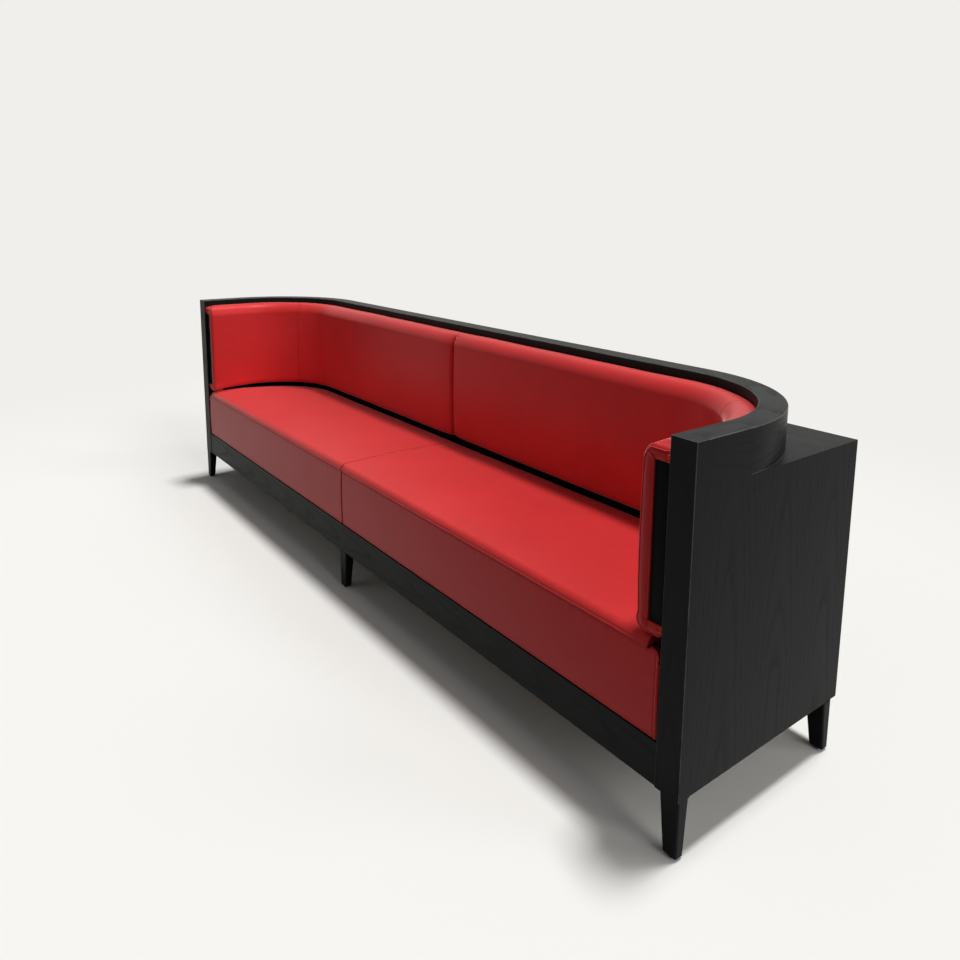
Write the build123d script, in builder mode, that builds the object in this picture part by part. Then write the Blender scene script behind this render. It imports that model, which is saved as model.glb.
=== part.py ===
from build123d import *
import os
from math import cos, radians, sin, sqrt

# A long upholstered bench whose back turns through two round corners into
# short wings. Millimetres. X runs along the bench, +Y to its back, +Z up.
# The origin is on the floor, in the middle of the bench's plan.

# Overall sizes
LENGTH = 2976
DEPTH = 610
HEIGHT = 900
RAIL_HEIGHT = 100
LEG_HEIGHT = 136
CORNER_RADIUS = 428
RAIL_THICKNESS = 64

# Timber frame
POST_DEPTH = 34
FRONT_SETBACK = 2
FRONT_RAIL_HEIGHT = 100
REAR_RAIL_THICKNESS = 45
SIDE_PANEL_THICKNESS = 22
REAR_PANEL_THICKNESS = 18
SHELL_THICKNESS = 18
DECK_THICKNESS = 18
BATTEN_SIZE = 18
BOARD_THICKNESS = 18
BEARER_THICKNESS = 28
BEARER_COUNT = 7
STUD_WIDTH = 45
STUD_COUNT = 5
STUD_END_MARGIN = 100
ARRIS = 2
PANEL_CORNER_RADIUS = 3

# Legs
LEG_WIDTH = 50
LEG_DEPTH = 34
FOOT_WIDTH = 36
FOOT_DEPTH = 24
LEG_EASE = 5
REAR_LEG_INSET = 22
GLIDE_RADIUS = 8
GLIDE_HEIGHT = 4
GLIDE_NAIL_RADIUS = 1.5
GLIDE_NAIL_LENGTH = 14
BOLT_RADIUS = 5
BOLT_IN_LEG = 40
BOLT_IN_FRAME = 35
BOLT_PANEL_MARGIN = 14

# Back and wing pads
PAD_THICKNESS = 78
PAD_CROWN = 3
PAD_TOP_DROP = 22
PAD_SEAT_GAP = 6
PAD_TOP_ROLL = 50
PAD_BOTTOM_ROLL = 27
PAD_SPLIT_ROLL = 9
PAD_END_ROLL = 4
PAD_FRONT_SETBACK = 10
CORE_THICKNESS = 49
CORE_TOP_COVER = 41
CORE_BOTTOM_COVER = 27
CORE_END_RECESS = 12
SEAM_ANGLE = 50

# Seat
SEAT_HEIGHT = 462
CUSHION_THICKNESS = 144
SEAM_DROP = 28
SEAT_EDGE_DROP = 6
SEAT_FRONT_ROLL = 22
SEAT_REAR_ROLL = 16
SEAT_SPLIT_ROLL = 7
SEAT_TUCK = 14
SEAT_EAR_DEPTH = 70
SEAT_CORNER_EASE = 4
SEAT_POST_GAP = 14
SEAT_END_ROLL = 5
FACING_POST_GAP = 4
SPLIT_GAP = 2
FACING_BULGE = 3
FACING_EDGE_ROLL = 4

# Screws
SCREW_RADIUS = 2.5
SCREW_HEAD_RADIUS = 4.5
SCREW_HEAD_HEIGHT = 3
BOARD_SCREW_LENGTH = 50
BOARD_SCREW_OFFSET = 8
PAD_SCREW_LENGTH = 45

# Clearances: round curved or soft faces, and round a screw or bolt
FIT = 0.3
HOLE_CLEARANCE = 0.15

# Shares of the lengths that they follow
board_screw_shares = (0.1, 0.5, 0.9)
pad_screw_shares = (0.25, 0.75)
back_screw_shares = (0.15, 0.5, 0.85)
wing_screw_share = 0.6

# Planes and lines that several pieces share
END_X = LENGTH / 2
FRONT_Y = -DEPTH / 2
REAR_Y = DEPTH / 2
CORNER_X = END_X - CORNER_RADIUS
CORNER_Y = REAR_Y - CORNER_RADIUS
INNER_RADIUS = CORNER_RADIUS - RAIL_THICKNESS
SHELL_RADIUS = INNER_RADIUS + SHELL_THICKNESS
SHELL_X = CORNER_X + INNER_RADIUS
SHELL_Y = CORNER_Y + INNER_RADIUS
PANEL_X = END_X - SIDE_PANEL_THICKNESS
PANEL_Y = REAR_Y - REAR_PANEL_THICKNESS
FRAME_FRONT_Y = FRONT_Y + POST_DEPTH
SEAT_FRONT_Y = FRONT_Y + FRONT_SETBACK
REAR_RAIL_Y = PANEL_Y - REAR_RAIL_THICKNESS
DECK_HEIGHT = HEIGHT - RAIL_HEIGHT
SEAM_HEIGHT = SEAT_HEIGHT - SEAM_DROP
BOARD_TOP = SEAT_HEIGHT - CUSHION_THICKNESS
BOARD_HEIGHT = BOARD_TOP - BOARD_THICKNESS
PAD_TOP = HEIGHT - PAD_TOP_DROP
PAD_BOTTOM = SEAT_HEIGHT + PAD_SEAT_GAP
CORE_TOP = PAD_TOP - CORE_TOP_COVER
CORE_BOTTOM = PAD_BOTTOM + CORE_BOTTOM_COVER
FRONT_RAIL_TOP = LEG_HEIGHT + FRONT_RAIL_HEIGHT
CORNER_AXIS = Axis((CORNER_X, CORNER_Y, 0), (0, 0, 1))
QUARTER = 90


def save(piece, name):
    """Name a finished piece and write it to its own file."""
    piece.part.label = name
    export_step(piece.part, f"parts/{name}.step")


def save_pair(piece, name):
    """Write a right-hand piece and its left-hand twin across the middle."""
    save(piece, f"right_{name}")
    with BuildPart() as twin:
        mirror(piece.part, about=Plane.YZ)
    save(twin, f"left_{name}")


def corner_plane(angle):
    """Upright plane through the corner's axis, turned by angle from +X."""
    out = (cos(radians(angle)), sin(radians(angle)), 0)
    normal = (sin(radians(angle)), -cos(radians(angle)), 0)
    return Plane(origin=(CORNER_X, CORNER_Y, 0), x_dir=out, z_dir=normal)


def back_plane(x):
    """Upright plane across the bench at x, with +Y and +Z as its axes."""
    return Plane.YZ.offset(x)


def wing_plane(y):
    """Upright plane along the bench at y, with +X and +Z as its axes."""
    return Plane.XZ.offset(-y)


def slab(low, high):
    """Box between two opposite corners, added to the piece being built."""
    size = [b - a for a, b in zip(low, high)]
    with Locations(low):
        Box(*size, align=(Align.MIN, Align.MIN, Align.MIN))


def drill(places, radius, low, high):
    """Round upright holes at (x, y) places, from low to high."""
    for x, y in places:
        with Locations((x, y, low)):
            Cylinder(radius, high - low, align=(Align.CENTER, Align.CENTER, Align.MIN), mode=Mode.SUBTRACT)


# Legs, their bolts and glides

FRONT_LEG_PLACE = (END_X - LEG_WIDTH / 2, FRONT_Y + LEG_DEPTH / 2)
REAR_LEG_PLACE = (END_X - LEG_WIDTH / 2, REAR_Y - REAR_LEG_INSET - LEG_DEPTH / 2)
CENTRE_FRONT_PLACE = (0, SEAT_FRONT_Y + LEG_DEPTH / 2)
CENTRE_REAR_PLACE = (0, REAR_LEG_PLACE[1])
FRONT_BOLT_PLACE = FRONT_LEG_PLACE
REAR_BOLT_PLACE = (PANEL_X - BOLT_PANEL_MARGIN, REAR_LEG_PLACE[1])


def foot_place(place, keep_x, keep_y):
    """Centre of the foot of a leg that tapers away from its kept faces."""
    x = place[0] + keep_x * (LEG_WIDTH - FOOT_WIDTH) / 2
    y = place[1] + keep_y * (LEG_DEPTH - FOOT_DEPTH) / 2
    return (x, y)


def make_leg(place, bolt_place, keep_x, keep_y):
    """Tapered leg: the faces towards keep stay upright, the others lean in."""
    foot = foot_place(place, keep_x, keep_y)
    with BuildPart() as leg:
        with BuildSketch(Plane.XY.offset(LEG_HEIGHT)):
            with Locations(place):
                Rectangle(LEG_WIDTH, LEG_DEPTH)
        with BuildSketch(Plane.XY.offset(GLIDE_HEIGHT)):
            with Locations(foot):
                Rectangle(FOOT_WIDTH, FOOT_DEPTH)
        loft(ruled=True)
        sides_and_foot = leg.edges().group_by(Axis.Z)[:-1]
        fillet([edge for group in sides_and_foot for edge in group], radius=LEG_EASE)
        drill([bolt_place], BOLT_RADIUS + HOLE_CLEARANCE, LEG_HEIGHT - BOLT_IN_LEG, LEG_HEIGHT)
        nail_top = GLIDE_HEIGHT + GLIDE_NAIL_LENGTH
        drill([foot], GLIDE_NAIL_RADIUS + HOLE_CLEARANCE, GLIDE_HEIGHT, nail_top)
    return leg


def build_legs():
    front = make_leg(FRONT_LEG_PLACE, FRONT_BOLT_PLACE, 1, -1)
    save_pair(front, "front_leg")
    rear = make_leg(REAR_LEG_PLACE, REAR_BOLT_PLACE, 1, 1)
    save_pair(rear, "rear_leg")
    centre_front = make_leg(CENTRE_FRONT_PLACE, CENTRE_FRONT_PLACE, 0, -1)
    save(centre_front, "centre_front_leg")
    centre_rear = make_leg(CENTRE_REAR_PLACE, CENTRE_REAR_PLACE, 0, 1)
    save(centre_rear, "centre_rear_leg")


def on_both_sides(places):
    """The given places and their twins across the middle."""
    return places + [(-x, y) for x, y in places]


def build_leg_bolts():
    places = on_both_sides([FRONT_BOLT_PLACE, REAR_BOLT_PLACE]) + [CENTRE_FRONT_PLACE, CENTRE_REAR_PLACE]
    with BuildPart() as bolts:
        with Locations([(x, y, LEG_HEIGHT - BOLT_IN_LEG) for x, y in places]):
            up = (Align.CENTER, Align.CENTER, Align.MIN)
            Cylinder(BOLT_RADIUS, BOLT_IN_LEG + BOLT_IN_FRAME, align=up)
    save(bolts, "leg_bolts")


def build_glides():
    ends = [foot_place(FRONT_LEG_PLACE, 1, -1), foot_place(REAR_LEG_PLACE, 1, 1)]
    middle = [foot_place(CENTRE_FRONT_PLACE, 0, -1), foot_place(CENTRE_REAR_PLACE, 0, 1)]
    up = (Align.CENTER, Align.CENTER, Align.MIN)
    with BuildPart() as glides:
        with Locations([(x, y, 0) for x, y in on_both_sides(ends) + middle]):
            Cylinder(GLIDE_RADIUS, GLIDE_HEIGHT, align=up)
            Cylinder(GLIDE_NAIL_RADIUS, GLIDE_HEIGHT + GLIDE_NAIL_LENGTH, align=up)
    save(glides, "leg_glides")


# Posts, rails, panels and what carries the seat

BEARER_SPAN = 2 * SHELL_X - BEARER_THICKNESS
BEARER_STEP = BEARER_SPAN / (BEARER_COUNT - 1)
BEARER_PLACES = [-BEARER_SPAN / 2 + BEARER_STEP * number for number in range(BEARER_COUNT)]
BEARER_LENGTH = REAR_RAIL_Y - FRAME_FRONT_Y


def board_screw_places():
    """Two screws beside the middle joint, one over each other bearer."""
    xs = [x for x in BEARER_PLACES if abs(x) > BEARER_THICKNESS]
    xs += [-BOARD_SCREW_OFFSET, BOARD_SCREW_OFFSET]
    ys = [FRAME_FRONT_Y + BEARER_LENGTH * share for share in board_screw_shares]
    inside = [(x, y) for x in xs for y in ys]
    return [place for place in inside if on_board(*place)]


def on_board(x, y):
    """True where a screw head lies inside the rounded seat board."""
    over_x = abs(x) - CORNER_X
    over_y = y - CORNER_Y
    if over_x < 0 or over_y < 0:
        return True
    return sqrt(over_x ** 2 + over_y ** 2) < SHELL_RADIUS - 2 * SCREW_HEAD_RADIUS


def build_posts():
    with BuildPart() as post:
        slab((SHELL_X, FRONT_Y, LEG_HEIGHT), (END_X, FRAME_FRONT_Y, HEIGHT))
        front_corners = post.edges().filter_by(Axis.Z).group_by(Axis.Y)[0]
        top_edges = post.faces().sort_by(Axis.Z)[-1].edges().sort_by(Axis.Y)[:-1]
        fillet(front_corners + top_edges, radius=ARRIS)
        hole = BOLT_RADIUS + HOLE_CLEARANCE
        drill([FRONT_BOLT_PLACE], hole, LEG_HEIGHT, LEG_HEIGHT + BOLT_IN_FRAME)
    save_pair(post, "post")


def build_front_rail():
    with BuildPart() as front_rail:
        slab((-SHELL_X, SEAT_FRONT_Y, LEG_HEIGHT), (SHELL_X, FRAME_FRONT_Y, FRONT_RAIL_TOP))
        lower_front = front_rail.edges().filter_by(Axis.X).group_by(Axis.Z)[0].sort_by(Axis.Y)[0]
        fillet(lower_front, radius=ARRIS)
        hole = BOLT_RADIUS + HOLE_CLEARANCE
        drill([CENTRE_FRONT_PLACE], hole, LEG_HEIGHT, LEG_HEIGHT + BOLT_IN_FRAME)
    save(front_rail, "front_rail")


def build_rear_rail():
    with BuildPart() as rear_rail:
        slab((-PANEL_X, REAR_RAIL_Y, LEG_HEIGHT), (PANEL_X, PANEL_Y, BOARD_HEIGHT))
        places = on_both_sides([REAR_BOLT_PLACE]) + [CENTRE_REAR_PLACE]
        hole = BOLT_RADIUS + HOLE_CLEARANCE
        drill(places, hole, LEG_HEIGHT, LEG_HEIGHT + BOLT_IN_FRAME)
    save(rear_rail, "rear_rail")


def build_bearers():
    screw_bottom = BOARD_TOP - BOARD_SCREW_LENGTH
    hole = SCREW_RADIUS + HOLE_CLEARANCE
    for number, x in enumerate(BEARER_PLACES, start=1):
        half = BEARER_THICKNESS / 2
        with BuildPart() as bearer:
            slab((x - half, FRAME_FRONT_Y, LEG_HEIGHT), (x + half, REAR_RAIL_Y, BOARD_HEIGHT))
            over = [place for place in board_screw_places() if abs(place[0] - x) < half]
            drill(over, hole, screw_bottom, BOARD_HEIGHT)
        save(bearer, f"cross_bearer_{number}")


def build_side_panels():
    with BuildPart() as panel:
        slab((PANEL_X, FRAME_FRONT_Y, LEG_HEIGHT), (END_X, REAR_Y, DECK_HEIGHT))
        outer = panel.faces().sort_by(Axis.X)[-1]
        rear_edge = outer.edges().sort_by(Axis.Y)[-1]
        bottom_edge = outer.edges().sort_by(Axis.Z)[0]
        fillet([rear_edge, bottom_edge], radius=PANEL_CORNER_RADIUS)
    save_pair(panel, "side_panel")


def build_rear_panel():
    with BuildPart() as rear_panel:
        slab((-PANEL_X, PANEL_Y, LEG_HEIGHT), (PANEL_X, REAR_Y, DECK_HEIGHT))
        lower_rear = rear_panel.edges().filter_by(Axis.X).group_by(Axis.Z)[0].sort_by(Axis.Y)[-1]
        fillet(lower_rear, radius=ARRIS)
    save(rear_panel, "rear_panel")


def build_seat_boards():
    with BuildPart() as board:
        with BuildSketch(Plane.XY.offset(BOARD_HEIGHT)):
            with BuildLine():
                rear = CORNER_Y + SHELL_RADIUS
                side = CORNER_X + SHELL_RADIUS
                Polyline((CORNER_X, rear), (0, rear), (0, FRAME_FRONT_Y), (side, FRAME_FRONT_Y), (side, CORNER_Y))
                CenterArc((CORNER_X, CORNER_Y), SHELL_RADIUS, 0, QUARTER)
            make_face()
        extrude(amount=BOARD_THICKNESS)
        places = [place for place in board_screw_places() if place[0] > 0]
        head_bottom = BOARD_TOP - SCREW_HEAD_HEIGHT
        drill(places, SCREW_RADIUS + HOLE_CLEARANCE, BOARD_HEIGHT, BOARD_TOP)
        drill(places, SCREW_HEAD_RADIUS + HOLE_CLEARANCE, head_bottom, BOARD_TOP)
    save_pair(board, "seat_board")


def build_board_screws():
    up = (Align.CENTER, Align.CENTER, Align.MIN)
    with BuildPart() as screws:
        with Locations([(x, y, BOARD_TOP - BOARD_SCREW_LENGTH) for x, y in board_screw_places()]):
            Cylinder(SCREW_RADIUS, BOARD_SCREW_LENGTH, align=up)
        with Locations([(x, y, BOARD_TOP - SCREW_HEAD_HEIGHT) for x, y in board_screw_places()]):
            Cylinder(SCREW_HEAD_RADIUS, SCREW_HEAD_HEIGHT, align=up)
    save(screws, "board_screws")


# Inner shell that the pads are screwed to, and the screws

CORE_HEIGHT = CORE_TOP - CORE_BOTTOM
PAD_SCREW_HEIGHTS = [CORE_BOTTOM + CORE_HEIGHT * share for share in pad_screw_shares]
BACK_SCREW_XS = [CORNER_X * share for share in back_screw_shares]
WING_SCREW_Y = CORNER_Y + (FRAME_FRONT_Y - CORNER_Y) * wing_screw_share


def screw_along(plane, places, radius, start, length, mode):
    """Cylinders square to an upright plane, from start over length beyond it."""
    if not places:
        return
    with BuildSketch(plane.offset(start)) as ends:
        with Locations(places):
            Circle(radius)
    extrude(ends.sketch, amount=length, mode=mode)


def back_screw_places():
    right = [(x, height) for x in BACK_SCREW_XS for height in PAD_SCREW_HEIGHTS]
    return right + [(-x, height) for x, height in right]


def wing_screw_places():
    return [(WING_SCREW_Y, height) for height in PAD_SCREW_HEIGHTS]


BACK_SCREW_PLANE = wing_plane(SHELL_Y + SHELL_THICKNESS)
WING_SCREW_PLANE = back_plane(SHELL_X + SHELL_THICKNESS)


def build_back_shell():
    with BuildPart() as back_shell:
        slab((-CORNER_X, SHELL_Y, BOARD_TOP), (CORNER_X, SHELL_Y + SHELL_THICKNESS, DECK_HEIGHT))
        hole = SCREW_RADIUS + HOLE_CLEARANCE
        screw_along(BACK_SCREW_PLANE, back_screw_places(), hole, 0, SHELL_THICKNESS, Mode.SUBTRACT)
    save(back_shell, "back_shell")


def build_corner_shells():
    with BuildPart() as shell:
        with BuildSketch(corner_plane(0)):
            with Locations((INNER_RADIUS, BOARD_TOP)):
                Rectangle(SHELL_THICKNESS, DECK_HEIGHT - BOARD_TOP, align=(Align.MIN, Align.MIN))
        revolve(axis=CORNER_AXIS, revolution_arc=QUARTER)
    save_pair(shell, "corner_shell")


def build_wing_shells():
    with BuildPart() as shell:
        slab((SHELL_X, FRAME_FRONT_Y, BOARD_TOP), (SHELL_X + SHELL_THICKNESS, CORNER_Y, DECK_HEIGHT))
        hole = SCREW_RADIUS + HOLE_CLEARANCE
        screw_along(WING_SCREW_PLANE, wing_screw_places(), hole, 0, -SHELL_THICKNESS, Mode.SUBTRACT)
    save_pair(shell, "wing_shell")


def build_pad_screws():
    with BuildPart() as screws:
        screw_along(BACK_SCREW_PLANE, back_screw_places(), SCREW_RADIUS, 0, PAD_SCREW_LENGTH, Mode.ADD)
        heads = (SCREW_HEAD_RADIUS, 0, -SCREW_HEAD_HEIGHT, Mode.ADD)
        screw_along(BACK_SCREW_PLANE, back_screw_places(), *heads)
        left_plane = Plane(origin=(-WING_SCREW_PLANE.origin.X, 0, 0), x_dir=(0, 1, 0), z_dir=(1, 0, 0))
        for plane, way in ((WING_SCREW_PLANE, -1), (left_plane, 1)):
            screw_along(plane, wing_screw_places(), SCREW_RADIUS, 0, way * PAD_SCREW_LENGTH, Mode.ADD)
            screw_along(plane, wing_screw_places(), SCREW_HEAD_RADIUS, 0, -way * SCREW_HEAD_HEIGHT, Mode.ADD)
    save(screws, "pad_screws")


def build_studs():
    end_x = CORNER_X - STUD_END_MARGIN
    step = 2 * end_x / (STUD_COUNT - 1)
    for number in range(STUD_COUNT):
        x = step * number - end_x
        half = STUD_WIDTH / 2
        with BuildPart() as stud:
            slab((x - half, SHELL_Y + SHELL_THICKNESS, BOARD_HEIGHT), (x + half, PANEL_Y, DECK_HEIGHT))
            hole = SCREW_HEAD_RADIUS + HOLE_CLEARANCE
            near = [place for place in back_screw_places() if abs(place[0] - x) < half + hole]
            depth = SCREW_HEAD_HEIGHT + HOLE_CLEARANCE
            screw_along(BACK_SCREW_PLANE, near, hole, 0, -depth, Mode.SUBTRACT)
        save(stud, f"back_stud_{number + 1}")


# Top rail, round the back, the corners and the wings

def rail_section(base):
    """Rail's section with eased top arrises, its inner face at base."""
    with Locations((base, DECK_HEIGHT)):
        Rectangle(RAIL_THICKNESS, HEIGHT - DECK_HEIGHT, align=(Align.MIN, Align.MIN))
    fillet(vertices().group_by(Axis.Y)[-1], radius=ARRIS)


def build_back_rail():
    with BuildPart() as back_rail:
        with BuildSketch(back_plane(0)):
            rail_section(SHELL_Y)
        extrude(amount=CORNER_X, both=True)
    save(back_rail, "back_rail")


def build_corner_rails():
    with BuildPart() as rail:
        with BuildSketch(corner_plane(0)):
            rail_section(INNER_RADIUS)
        revolve(axis=CORNER_AXIS, revolution_arc=QUARTER)
    save_pair(rail, "corner_rail")


def build_wing_rails():
    with BuildPart() as rail:
        with BuildSketch(wing_plane(CORNER_Y)):
            rail_section(SHELL_X)
        extrude(amount=CORNER_Y - FRAME_FRONT_Y)
    save_pair(rail, "wing_rail")


# Flat decks that close the rear corners outside the curved rail

def build_corner_decks():
    with BuildPart() as deck:
        with BuildSketch(Plane.XY.offset(DECK_HEIGHT - DECK_THICKNESS)):
            with BuildLine():
                side = (CORNER_X + SHELL_RADIUS, CORNER_Y)
                rear = (CORNER_X, CORNER_Y + SHELL_RADIUS)
                Polyline(side, (PANEL_X, CORNER_Y), (PANEL_X, PANEL_Y), (CORNER_X, PANEL_Y), rear)
                CenterArc((CORNER_X, CORNER_Y), SHELL_RADIUS, 0, QUARTER)
            make_face()
        extrude(amount=DECK_THICKNESS)
    save_pair(deck, "corner_deck")


def build_deck_battens():
    top = DECK_HEIGHT - DECK_THICKNESS
    bottom = top - BATTEN_SIZE
    with BuildPart() as battens:
        slab((CORNER_X, PANEL_Y - BATTEN_SIZE, bottom), (PANEL_X, PANEL_Y, top))
        slab((PANEL_X - BATTEN_SIZE, CORNER_Y, bottom), (PANEL_X, PANEL_Y - BATTEN_SIZE, top))
    save_pair(battens, "deck_batten")


# Back and wing pads: leather and foam wrapped round a black core

PAD_ROLL_TOP_Z = PAD_TOP - PAD_TOP_ROLL
PAD_ROLL_BOTTOM_Z = PAD_BOTTOM + PAD_BOTTOM_ROLL
PAD_MIDDLE_Z = (PAD_ROLL_TOP_Z + PAD_ROLL_BOTTOM_Z) / 2
PAD_HALF = (PAD_ROLL_TOP_Z - PAD_ROLL_BOTTOM_Z) / 2
FACE_RADIUS = (PAD_HALF ** 2 + PAD_CROWN ** 2) / (2 * PAD_CROWN)
FACE_CENTRE = PAD_THICKNESS - FACE_RADIUS


def roll_centre(radius):
    """How far out a roll's centre lies so that it runs into the crowned face."""
    return FACE_CENTRE + sqrt((FACE_RADIUS - radius) ** 2 - PAD_HALF ** 2)


def roll_meets_face(radius, height):
    """Point where a roll centred at height turns into the crowned face."""
    reach = FACE_RADIUS / (FACE_RADIUS - radius)
    out = FACE_CENTRE + (roll_centre(radius) - FACE_CENTRE) * reach
    return (out, PAD_MIDDLE_Z + (height - PAD_MIDDLE_Z) * reach)


def pad_section(base):
    """C-shaped section of a pad. Distances out from base run towards the sitter."""
    top_out = roll_centre(PAD_TOP_ROLL)
    bottom_out = roll_centre(PAD_BOTTOM_ROLL)
    contact = (FIT, PAD_ROLL_TOP_Z + sqrt(PAD_TOP_ROLL ** 2 - (top_out - FIT) ** 2))
    top_end = roll_meets_face(PAD_TOP_ROLL, PAD_ROLL_TOP_Z)
    bottom_end = roll_meets_face(PAD_BOTTOM_ROLL, PAD_ROLL_BOTTOM_Z)
    slant = PAD_BOTTOM_ROLL * sin(radians(QUARTER / 2))
    inside = CORE_THICKNESS + 2 * FIT

    def at(out, height):
        return (base - out, height)

    with BuildLine() as outline:
        ThreePointArc(at(*contact), at(top_out, PAD_TOP), at(*top_end))
        ThreePointArc(at(*top_end), at(PAD_THICKNESS, PAD_MIDDLE_Z), at(*bottom_end))
        low_mid = at(bottom_out + slant, PAD_ROLL_BOTTOM_Z - slant)
        ThreePointArc(at(*bottom_end), low_mid, at(bottom_out, PAD_BOTTOM))
        Polyline(
            at(bottom_out, PAD_BOTTOM),
            at(FIT, PAD_BOTTOM),
            at(FIT, CORE_BOTTOM - FIT),
            at(inside, CORE_BOTTOM - FIT),
            at(inside, CORE_TOP + FIT),
            at(FIT, CORE_TOP + FIT),
            at(*contact),
        )
    make_face(outline.edges())


def core_section(base):
    """Plain section of a core, against the shell."""
    with Locations((base - FIT, CORE_BOTTOM)):
        Rectangle(CORE_THICKNESS, CORE_HEIGHT, align=(Align.MAX, Align.MIN))


def round_corner(section, start, turn):
    """Carry a section round the corner, from the angle start through turn."""
    with BuildSketch(corner_plane(start)) as turned:
        section(INNER_RADIUS)
    revolve(turned.sketch, axis=CORNER_AXIS, revolution_arc=turn)


def build_back_pads():
    with BuildPart() as pad:
        with BuildSketch(back_plane(CORNER_X)):
            pad_section(SHELL_Y)
        extrude(amount=SPLIT_GAP / 2 - CORNER_X)
        split_face = pad.faces().sort_by(Axis.X)[0]
        fillet(split_face.edges().filter_by(GeomType.CIRCLE), radius=PAD_SPLIT_ROLL)
        round_corner(pad_section, SEAM_ANGLE, QUARTER - SEAM_ANGLE)
    save_pair(pad, "back_pad")


def build_wing_pads():
    with BuildPart() as pad:
        with BuildSketch(wing_plane(CORNER_Y)):
            pad_section(SHELL_X)
        extrude(amount=CORNER_Y - FRONT_Y - PAD_FRONT_SETBACK)
        front_face = pad.faces().sort_by(Axis.Y)[0]
        fillet(front_face.edges().filter_by(GeomType.CIRCLE), radius=PAD_END_ROLL)
        round_corner(pad_section, 0, SEAM_ANGLE)
    save_pair(pad, "wing_pad")


def build_back_cores():
    with BuildPart() as core:
        with BuildSketch(back_plane(CORNER_X)):
            core_section(SHELL_Y)
        extrude(amount=SPLIT_GAP / 2 - CORNER_X)
        round_corner(core_section, SEAM_ANGLE, QUARTER - SEAM_ANGLE)
        places = [(x, height) for x in BACK_SCREW_XS for height in PAD_SCREW_HEIGHTS]
        hole = SCREW_RADIUS + HOLE_CLEARANCE
        screw_along(BACK_SCREW_PLANE, places, hole, 0, PAD_SCREW_LENGTH, Mode.SUBTRACT)
    save_pair(core, "back_core")


def build_wing_cores():
    with BuildPart() as core:
        with BuildSketch(wing_plane(CORNER_Y)):
            core_section(SHELL_X)
        extrude(amount=CORNER_Y - FRONT_Y - PAD_FRONT_SETBACK - CORE_END_RECESS)
        round_corner(core_section, 0, SEAM_ANGLE)
        hole = SCREW_RADIUS + HOLE_CLEARANCE
        screw_along(WING_SCREW_PLANE, wing_screw_places(), hole, 0, -PAD_SCREW_LENGTH, Mode.SUBTRACT)
    save_pair(core, "wing_core")


# Seat: a crowned cushion with a rolled front edge, and its upright facing

SEAT_RADIUS = INNER_RADIUS - PAD_THICKNESS + SEAT_TUCK
SEAT_SIDE_X = CORNER_X + SEAT_RADIUS
SEAT_REAR_Y = CORNER_Y + SEAT_RADIUS
SEAT_END_X = SHELL_X - SEAT_POST_GAP
FACING_END_X = SHELL_X - FACING_POST_GAP
SEAT_SPLIT_X = SPLIT_GAP / 2


def arc_turn(radius):
    """How far the middle of a quarter arc stands in from its square corner."""
    return radius * (1 - cos(radians(QUARTER / 2)))


def seat_plan():
    """Plan of a cushion: straight front, ears beside the posts, round rear corner."""
    ear_y = SEAT_FRONT_Y + SEAT_EAR_DEPTH
    with BuildSketch(Plane.XY.offset(BOARD_TOP)) as plan:
        with BuildLine():
            Polyline(
                (CORNER_X, SEAT_REAR_Y),
                (SEAT_SPLIT_X, SEAT_REAR_Y),
                (SEAT_SPLIT_X, SEAT_FRONT_Y),
                (SEAT_END_X, SEAT_FRONT_Y),
                (SEAT_END_X, ear_y),
                (SEAT_SIDE_X, ear_y),
                (SEAT_SIDE_X, CORNER_Y),
            )
            CenterArc((CORNER_X, CORNER_Y), SEAT_RADIUS, 0, QUARTER)
        make_face()
        right_corners = plan.vertices().group_by(Axis.X)[-1]
        fillet(right_corners, radius=SEAT_CORNER_EASE)
    return plan.sketch


def seat_across():
    """Section from front to back: step over the facing, roll, crown, rear roll."""
    step_z = SEAM_HEIGHT + FIT
    behind_y = FRAME_FRONT_Y + FIT
    front_top = step_z + SEAT_FRONT_ROLL
    rear_top = SEAT_HEIGHT - SEAT_EDGE_DROP
    middle_y = (SEAT_FRONT_Y + SEAT_REAR_Y) / 2
    front_in = arc_turn(SEAT_FRONT_ROLL)
    rear_in = arc_turn(SEAT_REAR_ROLL)
    with BuildSketch(back_plane(0)) as section:
        with BuildLine():
            Polyline(
                (SEAT_REAR_Y, rear_top - SEAT_REAR_ROLL),
                (SEAT_REAR_Y, BOARD_TOP),
                (behind_y, BOARD_TOP),
                (behind_y, step_z),
                (SEAT_FRONT_Y, step_z),
            )
            ThreePointArc(
                (SEAT_FRONT_Y, step_z),
                (SEAT_FRONT_Y + front_in, front_top - front_in),
                (SEAT_FRONT_Y + SEAT_FRONT_ROLL, front_top),
            )
            ThreePointArc(
                (SEAT_FRONT_Y + SEAT_FRONT_ROLL, front_top),
                (middle_y, SEAT_HEIGHT),
                (SEAT_REAR_Y - SEAT_REAR_ROLL, rear_top),
            )
            ThreePointArc(
                (SEAT_REAR_Y - SEAT_REAR_ROLL, rear_top),
                (SEAT_REAR_Y - rear_in, rear_top - rear_in),
                (SEAT_REAR_Y, rear_top - SEAT_REAR_ROLL),
            )
        make_face()
    return section.sketch


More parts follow.
